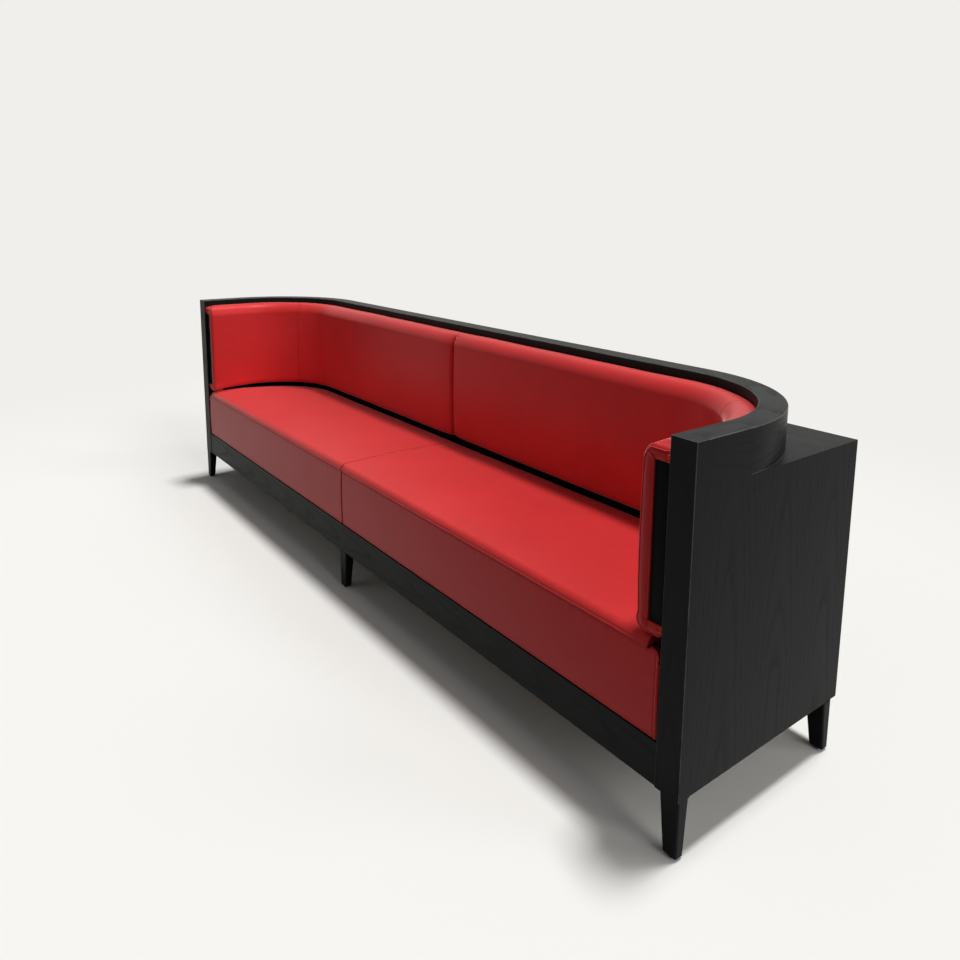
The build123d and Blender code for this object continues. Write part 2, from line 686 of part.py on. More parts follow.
def seat_along():
    """Section along the bench: small rolls at the split and at the end."""
    top = SEAT_HEIGHT - SEAT_EDGE_DROP / 2
    split_in = arc_turn(SEAT_SPLIT_ROLL)
    end_in = arc_turn(SEAT_END_ROLL)
    crown = ((SEAT_SPLIT_X + SEAT_END_X) / 2, SEAT_HEIGHT + SEAT_EDGE_DROP / 2)
    with BuildSketch(wing_plane(0)) as section:
        with BuildLine():
            Polyline(
                (SEAT_END_X, top - SEAT_END_ROLL),
                (SEAT_END_X, BOARD_TOP),
                (SEAT_SPLIT_X, BOARD_TOP),
                (SEAT_SPLIT_X, top - SEAT_SPLIT_ROLL),
            )
            ThreePointArc(
                (SEAT_SPLIT_X, top - SEAT_SPLIT_ROLL),
                (SEAT_SPLIT_X + split_in, top - split_in),
                (SEAT_SPLIT_X + SEAT_SPLIT_ROLL, top),
            )
            ThreePointArc(
                (SEAT_SPLIT_X + SEAT_SPLIT_ROLL, top),
                crown,
                (SEAT_END_X - SEAT_END_ROLL, top),
            )
            ThreePointArc(
                (SEAT_END_X - SEAT_END_ROLL, top),
                (SEAT_END_X - end_in, top - end_in),
                (SEAT_END_X, top - SEAT_END_ROLL),
            )
        make_face()
    return section.sketch


def build_seat_pads():
    with BuildPart() as pad:
        extrude(seat_plan(), amount=SEAT_HEIGHT - BOARD_TOP)
        extrude(seat_across(), amount=END_X, mode=Mode.INTERSECT)
        extrude(seat_along(), amount=DEPTH, both=True, mode=Mode.INTERSECT)
    save_pair(pad, "seat_pad")


def build_seat_facings():
    edge_y = SEAT_FRONT_Y + FACING_BULGE
    low = FRONT_RAIL_TOP + FIT
    turn = arc_turn(FACING_EDGE_ROLL)
    with BuildPart() as facing:
        with BuildSketch(back_plane(SEAT_SPLIT_X)):
            with BuildLine():
                Polyline(
                    (edge_y + FACING_EDGE_ROLL, low),
                    (FRAME_FRONT_Y, low),
                    (FRAME_FRONT_Y, SEAM_HEIGHT),
                    (edge_y + FACING_EDGE_ROLL, SEAM_HEIGHT),
                )
                ThreePointArc(
                    (edge_y + FACING_EDGE_ROLL, SEAM_HEIGHT),
                    (edge_y + turn, SEAM_HEIGHT - turn),
                    (edge_y, SEAM_HEIGHT - FACING_EDGE_ROLL),
                )
                ThreePointArc(
                    (edge_y, SEAM_HEIGHT - FACING_EDGE_ROLL),
                    (SEAT_FRONT_Y, (low + SEAM_HEIGHT) / 2),
                    (edge_y, low + FACING_EDGE_ROLL),
                )
                ThreePointArc(
                    (edge_y, low + FACING_EDGE_ROLL),
                    (edge_y + turn, low + turn),
                    (edge_y + FACING_EDGE_ROLL, low),
                )
            make_face()
        extrude(amount=FACING_END_X - SEAT_SPLIT_X)
    save_pair(facing, "seat_facing")


def build_all():
    os.makedirs("parts", exist_ok=True)
    build_legs()
    build_leg_bolts()
    build_glides()
    build_posts()
    build_front_rail()
    build_rear_rail()
    build_bearers()
    build_side_panels()
    build_rear_panel()
    build_seat_boards()
    build_board_screws()
    build_back_shell()
    build_corner_shells()
    build_wing_shells()
    build_pad_screws()
    build_studs()
    build_back_rail()
    build_corner_rails()
    build_wing_rails()
    build_corner_decks()
    build_deck_battens()
    build_back_pads()
    build_wing_pads()
    build_back_cores()
    build_wing_cores()
    build_seat_pads()
    build_seat_facings()


build_all()
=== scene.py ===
# %% [markdown]
# A long booth bench for a restaurant: a black wooden case, a thick top rail that
# turns through two round corners, and red leather pads that follow the rail.
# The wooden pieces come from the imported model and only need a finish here. The
# upholstery is made again as surfaces worked out with numpy, because leather over
# foam has rolls, seams, tucks and small waves that a plain solid doesn't show.

# %% Load the fixed frame
import math

import bmesh
import bpy
import numpy as np
from mathutils import Matrix, Vector


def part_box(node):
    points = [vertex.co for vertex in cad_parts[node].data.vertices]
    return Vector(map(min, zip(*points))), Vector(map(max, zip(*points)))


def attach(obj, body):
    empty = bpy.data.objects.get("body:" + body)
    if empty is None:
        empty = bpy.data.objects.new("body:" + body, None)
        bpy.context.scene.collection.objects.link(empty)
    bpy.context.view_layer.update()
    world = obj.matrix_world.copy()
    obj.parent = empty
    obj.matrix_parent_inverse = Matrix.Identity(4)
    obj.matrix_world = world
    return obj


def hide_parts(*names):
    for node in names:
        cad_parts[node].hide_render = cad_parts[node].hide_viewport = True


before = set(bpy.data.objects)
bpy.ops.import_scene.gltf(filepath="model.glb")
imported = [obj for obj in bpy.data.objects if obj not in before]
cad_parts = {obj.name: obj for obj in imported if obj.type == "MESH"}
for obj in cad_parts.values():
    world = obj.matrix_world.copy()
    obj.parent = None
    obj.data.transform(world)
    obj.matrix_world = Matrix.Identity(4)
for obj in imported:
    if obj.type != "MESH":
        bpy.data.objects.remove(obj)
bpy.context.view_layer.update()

BODY = "root"
print("frame loaded with", len(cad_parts), "pieces")

# %% [markdown]
# The sizes that the pieces share are read from the frame, so that the leather sits
# where the wood says. The plan of the back is a straight line, a quarter circle and
# another straight line, so a corner centre and a radius are all that the curve needs.

# %% Read the bench's driving sizes from its pieces
post_low, post_high = [np.array(corner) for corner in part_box("right_post")]
rail_low, rail_high = [np.array(corner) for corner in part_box("right_corner_rail")]
pad_low, pad_high = [np.array(corner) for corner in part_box("right_wing_pad")]
seat_low, seat_high = [np.array(corner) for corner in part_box("right_seat_pad")]
facing_low, facing_high = [np.array(corner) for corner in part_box("right_seat_facing")]
core_low, core_high = [np.array(corner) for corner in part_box("right_wing_core")]

RAIL_THICKNESS = post_high[0] - post_low[0]
CORNER_X = rail_low[0]
CORNER_Y = rail_low[1]
CORNER_RADIUS = rail_high[0] - rail_low[0]
INNER_RADIUS = CORNER_RADIUS - RAIL_THICKNESS
FRONT_Y = post_low[1]
SPLIT_X = seat_low[0]
SEAM_ANGLE = math.radians(50)
print("corner centre", CORNER_X, CORNER_Y, "inner radius", INNER_RADIUS)

# %% [markdown]
# The camera stands where the photographer stood. Its place and turn were solved
# from straight edges of the bench, and the lens is shifted a little because the
# photograph is a crop of a taller frame. Rows of the turn are right, up and back.

# %% Camera at the photograph's viewing angle
CAMERA_PLACE = (2.3589, -1.4755, 1.3160)
CAMERA_YAW = math.radians(-53.0)
CAMERA_PITCH = math.radians(-9.14)
CAMERA_ROLL = math.radians(-0.43)
FOCAL_PIXELS = 771.4
FRAME_PIXELS = 960
CENTRE_ROW = 340.3
SENSOR_MM = 36


def camera_turn(yaw, pitch, roll):
    """Matrix whose columns are the camera's right, up and back.

    Forward is +Y turned by yaw about the upright and then by pitch; right is
    level before the roll; the roll turns right and up about forward."""
    forward = Vector((math.sin(yaw) * math.cos(pitch), math.cos(yaw) * math.cos(pitch), math.sin(pitch)))
    right = forward.cross(Vector((0, 0, 1))).normalized()
    up = right.cross(forward)
    turned_right = right * math.cos(roll) - up * math.sin(roll)
    turned_up = right * math.sin(roll) + up * math.cos(roll)
    return Matrix((turned_right, turned_up, -forward)).transposed()


def linked_object(name, data):
    """New object in the scene."""
    new = bpy.data.objects.new(name, data)
    bpy.context.scene.collection.objects.link(new)
    return new


camera_data = bpy.data.cameras.new("photo_camera")
camera_data.sensor_width = SENSOR_MM
camera_data.lens = FOCAL_PIXELS / FRAME_PIXELS * SENSOR_MM
camera_data.shift_y = (CENTRE_ROW - FRAME_PIXELS / 2) / FRAME_PIXELS
camera_data.clip_start = 0.05
camera = linked_object("photo_camera", camera_data)
turn = camera_turn(CAMERA_YAW, CAMERA_PITCH, CAMERA_ROLL)
camera.matrix_world = Matrix.Translation(CAMERA_PLACE) @ turn.to_4x4()
bpy.context.scene.camera = camera
print("lens", round(camera_data.lens, 2), "mm, shift", round(camera_data.shift_y, 4))

# %% [markdown]
# A shader tree is written as formulas. A Value is the output of a node, and each
# sign between two of them makes one Math node, so that a formula in the code looks
# like the formula in words.

# %% Helpers for shader nodes
NOISE_LOW = 0.3
NOISE_HIGH = 0.7


class Value:
    """Output of a shader node that can be used in a formula."""

    def __init__(self, socket):
        self.socket = socket
        self.tree = socket.id_data

    def maths(self, operation, *others):
        """Output of one Math node that starts with this value."""
        inputs = dict(enumerate((self, *others)))
        return node_value(self.tree, "ShaderNodeMath", inputs, operation=operation)

    def __add__(self, other):
        return self.maths("ADD", other)

    def __sub__(self, other):
        return self.maths("SUBTRACT", other)

    def __mul__(self, other):
        return self.maths("MULTIPLY", other)

    def __truediv__(self, other):
        return self.maths("DIVIDE", other)

    def spread(self, low, high, out_low=0.0, out_high=1.0):
        """This value carried from low..high to out_low..out_high, held at both ends."""
        inputs = {0: self, 1: low, 2: high, 3: out_low, 4: out_high}
        return node_value(self.tree, "ShaderNodeMapRange", inputs)

    def between(self, at_none, at_full):
        """A mask from 0 to 1, carried to at_none..at_full."""
        return self.spread(0.0, 1.0, at_none, at_full)

    def swing(self, low, high):
        """A noise, which lies mostly from 0.3 to 0.7, carried to low..high."""
        return self.spread(NOISE_LOW, NOISE_HIGH, low, high)


def add_node(tree, kind, values=None, **settings):
    """One new node with its settings, and its inputs set or linked by name or number."""
    new = tree.nodes.new(kind)
    for key, value in settings.items():
        setattr(new, key, value)
    for key, value in (values or {}).items():
        if isinstance(value, Value):
            tree.links.new(value.socket, new.inputs[key])
        else:
            new.inputs[key].default_value = value
    return new


def node_value(tree, kind, values=None, output=0, **settings):
    """One output of a new node, by name or number."""
    return Value(add_node(tree, kind, values, **settings).outputs[output])


def vector_maths(operation, first, second):
    """Output of one Vector Math node. At least one of the two is a Value."""
    tree = (first if isinstance(first, Value) else second).tree
    return node_value(tree, "ShaderNodeVectorMath", {0: first, 1: second}, operation=operation)


def split(vector):
    """X, Y and Z of a vector."""
    return [Value(socket) for socket in add_node(vector.tree, "ShaderNodeSeparateXYZ", {0: vector}).outputs]


def noise(place, scale, detail):
    """Smooth random value at a place."""
    inputs = {"Vector": place, "Scale": scale, "Detail": detail}
    return node_value(place.tree, "ShaderNodeTexNoise", inputs, "Fac")


def streaks(place, fine, along, detail):
    """Noise that is fine across the grain and long along it, which is Z."""
    return noise(vector_maths("MULTIPLY", place, (fine, fine, along)), 1.0, detail)


def new_group(name, inputs, outputs):
    """Empty shader group: its tree, its inputs as Values, and its output node."""
    tree = bpy.data.node_groups.new(name, "ShaderNodeTree")
    for label, kind, default in inputs:
        socket = tree.interface.new_socket(label, in_out="INPUT", socket_type=kind)
        socket.default_value = default
    for label in outputs:
        tree.interface.new_socket(label, in_out="OUTPUT", socket_type="NodeSocketFloat")
    start = tree.nodes.new("NodeGroupInput")
    return tree, [Value(socket) for socket in start.outputs[:len(inputs)]], tree.nodes.new("NodeGroupOutput")


def link_outputs(end, **values):
    """Links Values to the group's outputs of the same names."""
    for label, value in values.items():
        value.tree.links.new(value.socket, end.inputs[label])


# %% [markdown]
# Smooth upholstery leather has a fine pebble grain and faint clouds of tone. Down in its
# seams, tucks and grooves it is duller, and darker by painted shade. One group gives all
# three as plain values, so that each leather material can weigh them for itself.

# %% Shader group: the skin of the leather
CREASE_SCALE = 240.0
CLOUD_SCALE = 3.5
PATCH_SCALE = 26.0
SEAM_SHADE_TONE = 0.62
SEAM_DULLNESS = 0.2


def make_leather_group():
    """Tone, Dullness and Height of leather from a position and a mask of painted seam shade.

    Pebbles are the cells of a fine Voronoi pattern, high in the middle and low at
    their edges. Two noises add creases and clouds."""
    inputs = [
        ("Position", "NodeSocketVector", (0.0, 0.0, 0.0)),
        ("Grain", "NodeSocketFloat", 850.0),
        ("Seam", "NodeSocketFloat", 0.0),
    ]
    tree, (place, grain, seam), end = new_group("leather_skin", inputs, ("Tone", "Dullness", "Height"))
    pebbles = node_value(tree, "ShaderNodeTexVoronoi", {"Vector": place, "Scale": grain}, "Distance",
                         feature="SMOOTH_F1")
    creases = noise(place, CREASE_SCALE, 3.0)
    clouds = noise(place, CLOUD_SCALE, 3.0)
    patches = noise(place, PATCH_SCALE, 3.0)
    tone = clouds.swing(0.955, 1.045) * patches.swing(0.98, 1.02)
    # The seam mask darkens the colour as painted shade in seams, tucks and grooves.
    tone = tone * pebbles.spread(0.2, 0.8, 1.01, 0.95) * seam.between(1.0, SEAM_SHADE_TONE)
    dull = creases.swing(0.0, 0.05) + patches.swing(-0.02, 0.02) + seam * SEAM_DULLNESS
    link_outputs(end, Tone=tone, Dullness=dull, Height=creases * 0.7 - pebbles)
    return tree


LEATHER_GROUP = make_leather_group()
print("leather group has", len(LEATHER_GROUP.nodes), "nodes")

# %% [markdown]
# Black-stained ash veneer keeps its open pores. Each leaf of veneer was sliced flat
# from the log, so its rings show as arches in the middle and as straight lines at
# the sides. Pores are short grooves along the grain that crowd into the early wood
# of each ring. The group takes a position whose Z runs along the grain.

# %% Shader group: open-pored wood grain
HEART_DEPTH = 0.08
HEART_SWING = -0.06
HEART_PERIOD = 0.4
ARCH_SLOPE = 0.045
DRIFT = 0.03
LEAF_OFFSET = 0.0037
PORE_LIMIT_LATE = 0.63
PORE_LIMIT_EARLY = 0.50


def make_wood_group():
    """Tone, Dullness and Height of open-pored wood, with the grain along Z.

    In each leaf, a ring's radius is the distance from a heart that lies behind the
    leaf, plus a small share of the length along it, which makes arches. The ring's
    place is the fraction of the radius over the ring's width. A pore is where a
    noise, fine across and long along, is above a limit that early wood lowers."""
    inputs = [
        ("Position", "NodeSocketVector", (0.0, 0.0, 0.0)),
        ("Leaf start", "NodeSocketFloat", 0.0),
        ("Leaf width", "NodeSocketFloat", 0.2),
        ("Ring width", "NodeSocketFloat", 0.010),
        ("Pore depth", "NodeSocketFloat", 1.0),
    ]
    tree, (place, leaf_start, leaf_width, ring_width, pore_depth), end = new_group(
        "open_grain", inputs, ("Tone", "Dullness", "Height"))
    x, y, z = split(place)
    leaf_place = (x - leaf_start) / leaf_width
    leaf = leaf_place.maths("FLOOR")
    across = (leaf_place.maths("FRACT") - 0.5) * leaf_width
    heart = (y * (2 * math.pi / HEART_PERIOD)).maths("COSINE") * HEART_SWING + HEART_DEPTH
    radius = (across * across + heart * heart).maths("SQRT")
    radius = radius + z * ARCH_SLOPE + streaks(place, 9.0, 2.2, 2.0) * DRIFT + leaf * LEAF_OFFSET
    early = (radius / ring_width).maths("FRACT").spread(0.12, 0.5, 1.0, 0.0)
    pits = streaks(place, 780.0, 24.0, 1.0)
    fibres = streaks(place, 420.0, 6.0, 3.0)
    limit = early.between(PORE_LIMIT_LATE, PORE_LIMIT_EARLY)
    pore = (pits - limit).spread(0.0, 0.08) * pore_depth
    tone = early.between(1.04, 0.93) * fibres.swing(0.93, 1.07) * pore.between(1.0, 0.7)
    dull = pore * 0.16 + fibres.swing(-0.03, 0.03) + early * 0.03
    link_outputs(end, Tone=tone, Dullness=dull, Height=fibres * 0.2 - pore + early * -0.15)
    return tree


WOOD_GROUP = make_wood_group()
print("wood group has", len(WOOD_GROUP.nodes), "nodes")

# %% [markdown]
# Where two faces of a painted or stained piece meet, hands and cloths rub the edge,
# and it gets a little paler; the paler edge is also a painted highlight, the glint
# that a rounded arris catches. On any face of a box, the nearest box face is the one
# that is stood on, so the next nearest tells how far away the edge is.

# %% Shader group: rubbed edges and painted highlights
WEAR_AND_HIGHLIGHT_SCALE = 18.0
FULL_WEAR_AND_HIGHLIGHT = 0.6


def make_edge_group():
    """Edge: 1 on the edges of a box from Low to High, 0 from Reach inwards, a little uneven.

    The distance to an edge is the median of the distances to the box's faces in X,
    Y and Z, that is the larger of min(a, b) and min(max(a, b), c)."""
    inputs = [
        ("Position", "NodeSocketVector", (0.0, 0.0, 0.0)),
        ("Low", "NodeSocketVector", (0.0, 0.0, 0.0)),
        ("High", "NodeSocketVector", (1.0, 1.0, 1.0)),
        ("Reach", "NodeSocketFloat", 0.0020),
    ]
    tree, (place, low, high, reach), end = new_group("rubbed_and_highlight_edges", inputs, ("Edge",))
    from_low = vector_maths("SUBTRACT", place, low)
    from_high = vector_maths("SUBTRACT", high, place)
    a, b, c = split(vector_maths("MINIMUM", from_low, from_high))
    distance = a.maths("MINIMUM", b).maths("MAXIMUM", a.maths("MAXIMUM", b).maths("MINIMUM", c))
    wide = reach * noise(place, WEAR_AND_HIGHLIGHT_SCALE, 3.0).spread(0.35, 0.65, 0.65, 1.2)
    inward = distance / wide
    link_outputs(end, Edge=inward.spread(1 - FULL_WEAR_AND_HIGHLIGHT, 1.0, 1.0, 0.0))
    return tree


EDGE_GROUP = make_edge_group()
print("edge group has", len(EDGE_GROUP.nodes), "nodes")

# %% [markdown]
# A material is a colour times the group's tone, a roughness plus its dullness and
# a bump from its height. Steady numbers are set on the shader's own sockets.

# %% Materials
RUBBED_DULLNESS = 0.06


def empty_material(name):
    """New material with an empty node tree."""
    material = bpy.data.materials.new(name)
    material.use_nodes = True
    material.node_tree.nodes.clear()
    return material, material.node_tree


def object_place(tree):
    """Position on the piece in its own coordinates, which are the bench's."""
    return node_value(tree, "ShaderNodeTexCoord", output="Object")


def mixed(tree, share, first, second):
    """The first colour, going over to the second as the share goes from 0 to 1."""
    return node_value(tree, "ShaderNodeMix", {"Factor": share, "A": first, "B": second}, "Result",
                      data_type="VECTOR")


def finish_material(tree, skin, colour, roughness, bump_mm, specular, edge=None, rubbed_and_highlight=None):
    """Principled shader fed by a skin group: colour times tone, roughness plus dullness.

    With an edge mask, the colour goes over to the rubbed and highlight one where the mask is 1: wear and a
    painted highlight."""
    tone, dullness, height = [Value(skin.outputs[label]) for label in ("Tone", "Dullness", "Height")]
    shade = vector_maths("MULTIPLY", colour, tone)
    rough = dullness + roughness
    if edge is not None:
        shade = mixed(tree, edge, shade, rubbed_and_highlight)
        rough = rough + edge * RUBBED_DULLNESS
    bump = node_value(tree, "ShaderNodeBump", {"Strength": 1.0, "Distance": bump_mm / 1000, "Height": height})
    principled = add_node(tree, "ShaderNodeBsdfPrincipled", {
        "Base Color": shade, "Roughness": rough, "Normal": bump})
    principled.inputs["Specular IOR Level"].default_value = specular
    add_node(tree, "ShaderNodeOutputMaterial", {"Surface": Value(principled.outputs[0])})
    return principled


def make_leather(name, colour):
    """Satin leather. Its seam mask, painted shade in seams, tucks and grooves, is an attribute that each
    piece carries.

    The finish is pigmented, so it throws light back reddish. A sheen makes it paler
    where it is lit and seen at a glancing angle, as on the seat."""
    material, tree = empty_material(name)
    seam = node_value(tree, "ShaderNodeAttribute", output="Fac", attribute_name="seam")
    skin = add_node(tree, "ShaderNodeGroup", {"Position": object_place(tree), "Seam": seam},
                    node_tree=LEATHER_GROUP)
    principled = finish_material(tree, skin, colour, roughness=0.36, bump_mm=0.07, specular=0.20)
    principled.inputs["Specular Tint"].default_value = (1.0, 0.40, 0.40, 1.0)
    principled.inputs["Sheen Weight"].default_value = 0.70
    principled.inputs["Sheen Roughness"].default_value = 0.3
    principled.inputs["Sheen Tint"].default_value = (1.0, 0.58, 0.56, 1.0)
    return material


def make_plain(name, colour, roughness, metallic, mottle):
    """Even finish with a faint mottle, for thread, steel and nylon."""
    material, tree = empty_material(name)
    spots = noise(object_place(tree), mottle, 4.0)
    principled = add_node(tree, "ShaderNodeBsdfPrincipled", {
        "Base Color": vector_maths("MULTIPLY", colour, spots.swing(0.85, 1.1)),
        "Roughness": spots.swing(roughness - 0.06, roughness + 0.06)})
    principled.inputs["Metallic"].default_value = metallic
    add_node(tree, "ShaderNodeOutputMaterial", {"Surface": Value(principled.outputs[0])})
    return material


RED = (0.68, 0.036, 0.038)
THREAD = (0.60, 0.05, 0.05)
red_leather = make_leather("red_leather", RED)
thread = make_plain("red_thread", THREAD, 0.6, 0.0, 900.0)
zinc_steel = make_plain("zinc_steel", (0.58, 0.58, 0.56), 0.36, 1.0, 300.0)
glide_nylon = make_plain("glide_nylon", (0.03, 0.03, 0.03), 0.5, 0.0, 500.0)
print("leather, thread, steel and nylon made")

# %% [markdown]
# The grain of a wooden piece runs along its length: upright on posts, legs and side
# panels, along the bench on long rails, and round the curve on the bent corner
# rails, as a bent lamination has it. So the position is turned until its Z runs
# along the grain, and the piece's box is turned with it for the rubbed and highlighted edges.

# %% Wood materials
FAR = 10.0
EDGE_STRENGTH = 0.7
AXES = {
    "panel": (1, 0, 2),
    "upright": (0, 1, 2),
    "lengthwise": (2, 1, 0),
    "deck": (2, 1, 0),
    "crosswise": (0, 2, 1),
}


def turned_place(tree, grain):
    """Position as (across the grain, depth, along the grain).

    Pieces that come in pairs use the distance from the bench's middle, so that
    one material serves both. Round a corner, depth is the radius about the corner's
    centre, and along the grain is the angle times that radius."""
    x, y, z = split(object_place(tree))
    if grain != "lengthwise":
        x = x.maths("ABSOLUTE")
    if grain == "round":
        out_x = x - float(CORNER_X)
        out_y = y - float(CORNER_Y)
        radius = (out_x * out_x + out_y * out_y).maths("SQRT")
        order = (z, radius, out_y.maths("ARCTAN2", out_x) * float(CORNER_RADIUS))
    else:
        order = [(x, y, z)[axis] for axis in AXES[grain]]
    return node_value(tree, "ShaderNodeCombineXYZ", dict(enumerate(order)))


def edge_box(grain, node, open_low, open_high):
    """The node's lowest and highest corner in turned order.

    An open side lies far off, so it has no edge."""
    if grain == "round":
        low = [rail_low[2], INNER_RADIUS, -FAR]
        high = [rail_high[2], CORNER_RADIUS, FAR]
    else:
        box_low, box_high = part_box(node)
        low = [box_low[axis] - FAR * ("xyz"[axis] in open_low) for axis in AXES[grain]]
        high = [box_high[axis] + FAR * ("xyz"[axis] in open_high) for axis in AXES[grain]]
    return tuple(map(float, low)), tuple(map(float, high))


def make_wood(name, colour, grain, leaf=(0.0, 0.6), ring=0.010, pores=1.0, roughness=0.40, bump_mm=0.16,
              specular=0.05, edges=None, rubbed_and_highlight=None):
    """Wood by the way its grain runs. edges is (node, open low sides, open high sides)."""
    material, tree = empty_material(name)
    place = turned_place(tree, grain)
    skin = add_node(tree, "ShaderNodeGroup", {
        "Position": place, "Leaf start": float(leaf[0]), "Leaf width": float(leaf[1]), "Ring width": ring,
        "Pore depth": pores}, node_tree=WOOD_GROUP)
    edge = None
    if edges:
        low, high = edge_box(grain, *edges)
        box = {"Position": place, "Low": low, "High": high}
        edge = node_value(tree, "ShaderNodeGroup", box, "Edge", node_tree=EDGE_GROUP) * EDGE_STRENGTH
    finish_material(tree, skin, colour, roughness, bump_mm, specular, edge, rubbed_and_highlight)
    return material


BLACK = (0.0100, 0.0118, 0.0112)
# Pale edge colour: partly rubbed wear, partly a painted highlight on the arrises.
RUBBED_AND_HIGHLIGHT_BLACK = (0.165, 0.168, 0.164)
BOARD_BLACK = (0.0045, 0.0045, 0.0045)
SOFTWOOD = (0.56, 0.39, 0.22)
BIRCH = (0.62, 0.46, 0.29)
panel_low, panel_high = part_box("right_side_panel")
WIDE_LEAF = 0.6
PANEL_LEAF = (panel_low[1], (panel_high[1] - panel_low[1]) / 3)
RAIL_LEAF = ((rail_low[2] + rail_high[2]) / 2 - WIDE_LEAF / 2, WIDE_LEAF)
POST_LEAF = ((post_low[0] + post_high[0]) / 2 - WIDE_LEAF / 2, WIDE_LEAF)
FRONT_LEAF = (-0.114, WIDE_LEAF)
DECK_LEAF = (0.5, WIDE_LEAF)
REAR_LEAF = (panel_low[2], 0.2213)


def make_ash(name, grain, leaf, *edges):
    """Black-stained ash, its pores nearly filled by the lacquer, with paler edges of wear and painted
    highlight.
    """
    return make_wood("black_ash_" + name, BLACK, grain, leaf, pores=0.6, bump_mm=0.10, edges=edges or None,
                     rubbed_and_highlight=RUBBED_AND_HIGHLIGHT_BLACK)


def make_softwood(grain):
    """Sawn softwood, for the frame inside."""
    return make_wood("softwood_" + grain, SOFTWOOD, grain, (0.04, 0.21), ring=0.006, pores=0.15,
                     roughness=0.62, bump_mm=0.10, specular=0.3)


black_board = make_wood("black_board", BOARD_BLACK, "lengthwise", (0.0, WIDE_LEAF), ring=0.012, pores=0.3,
                        roughness=0.6, bump_mm=0.06, specular=0.03)
birch_plywood = make_wood("birch_plywood", BIRCH, "lengthwise", (0.0, WIDE_LEAF), ring=0.016, pores=0.12,
                          roughness=0.58, bump_mm=0.05, specular=0.3)

# %% [markdown]
# The wooden nodes keep their shape and only get a finish, found by a word in the
# node's name. The first line of the table that fits is the one that counts.

# %% Give each wooden and metal node its finish
FINISHES = [
    (make_ash("round", "round", RAIL_LEAF, "right_corner_rail", "", ""), "corner_rail"),
    (make_ash("wing", "crosswise", POST_LEAF, "right_wing_rail", "yz", "y"), "wing_rail"),
    (make_ash("back", "lengthwise", RAIL_LEAF, "back_rail", "xz", "x"), "back_rail"),
    (make_ash("front", "lengthwise", FRONT_LEAF, "front_rail", "xy", "xyz"), "front_rail"),
    (make_ash("deck", "deck", DECK_LEAF), "corner_deck"),
    (make_ash("rear", "lengthwise", REAR_LEAF, "rear_panel", "xy", "x"), "rear_panel"),
    (make_ash("post", "upright", POST_LEAF, "right_post", "z", "y"), "post"),
    (make_ash("leg", "upright", POST_LEAF), "_leg"),
    (make_ash("panel", "panel", PANEL_LEAF, "right_side_panel", "xy", "z"), "side_panel"),
    (black_board, "shell", "core"),
    (make_softwood("crosswise"), "cross_bearer"),
    (make_softwood("lengthwise"), "rear_rail", "deck_batten"),
    (make_softwood("upright"), "back_stud"),
    (birch_plywood, "seat_board"),
    (zinc_steel, "screws", "leg_bolts"),
    (glide_nylon, "leg_glides"),
]
for node_name, node_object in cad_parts.items():
    fitting = (material for material, *words in FINISHES if any(word in node_name for word in words))
    finish = next(fitting, None)
    if finish:
        node_object.data.materials.clear()
        node_object.data.materials.append(finish)
print(len(bpy.data.materials), "materials made, finishes given to the wooden pieces")

# %% [markdown]
# A leather piece is a closed grid: rows along the bench, columns round its section,
# and a cap at each end. Rows near an end are drawn in along a quarter circle, which
# is how leather turns over the end of foam.

# %% Mesh helpers


def smooth_step(value):
    """0 below 0, 1 above 1, and 3v^2 - 2v^3 between."""
    value = np.clip(value, 0.0, 1.0)
    return value * value * (3 - 2 * value)


def bell(distance, width):
    """Bell that is 1 at no distance and falls off over width."""
    return np.exp(-(distance / width) ** 2)


def soft_minimum(first, second, softness):
    """The smaller of two values, with the corner between them rounded over the softness."""
    return -softness * np.logaddexp(-first / softness, -second / softness)


def rolled_in(distance, radius):
    """How far a surface stands back near its end: a quarter circle of that radius."""
    near = np.clip(1 - distance / radius, 0, 1)
    return radius * (1 - np.sqrt(1 - near ** 2))


def fading(distance, reach):
    """1 at no distance, and less by a factor e with every reach."""
    return np.exp(-distance / reach)


def wave(place, length, phase=0.0):
    """Sine wave of that length."""
    return np.sin(place * 2 * math.pi / length + phase)


def ridges(place, table):
    """Sum of bells, each given as (height, middle, width). A groove has a height below 0."""
    return sum(height * bell(place - middle, width) for height, middle, width in table)


SLOW_WAVES = np.array([(7.1, 3.3, 5.2), (13.7, -9.1, 6.4), (21.3, 17.5, -11.2), (3.9, 23.1, 15.7),
                       (31.0, -6.0, 28.0)])
WAVE_PHASES = np.array([0.4, 1.9, 3.1, 4.4, 5.2])
WAVE_WEIGHTS = np.array([0.4, 0.3, 0.2, 0.15, 0.1])


def undulation(points):
    """Slow soft waves of leather over foam: a sum of five sines of the position."""
    return np.tensordot(np.sin(points @ SLOW_WAVES.T + WAVE_PHASES), WAVE_WEIGHTS, axes=([-1], [0]))


def loop_normals(loops):
    """Outward normals of closed plane loops (rows, columns, 2) that run clockwise."""
    along = np.roll(loops, -1, axis=1) - np.roll(loops, 1, axis=1)
    along /= np.linalg.norm(along, axis=2, keepdims=True) + 1e-12
    return np.stack([-along[..., 1], along[..., 0]], axis=2)


def grid_faces(rows, columns):
    """Quads between neighbouring rows of closed loops."""
    row = np.arange(rows - 1)[:, None] * columns
    column = np.arange(columns)[None, :]
    after = (column + 1) % columns
    quads = np.stack([row + column, row + after, row + columns + after, row + columns + column], axis=2)
    return quads.reshape(-1, 4)


def band_faces(first, second):
    """Quads between two open rows of vertex numbers."""
    return np.stack([first[:-1], first[1:], second[1:], second[:-1]], axis=1)


def end_caps(rows, columns):
    """The first and the last loop as faces."""
    return [range(columns), range(rows * columns - 1, (rows - 1) * columns - 1, -1)]


HALVES = ((1, "right"), (-1, "left"))
SHARP_TURN = math.radians(50)
MERGE_DISTANCE = 1e-6


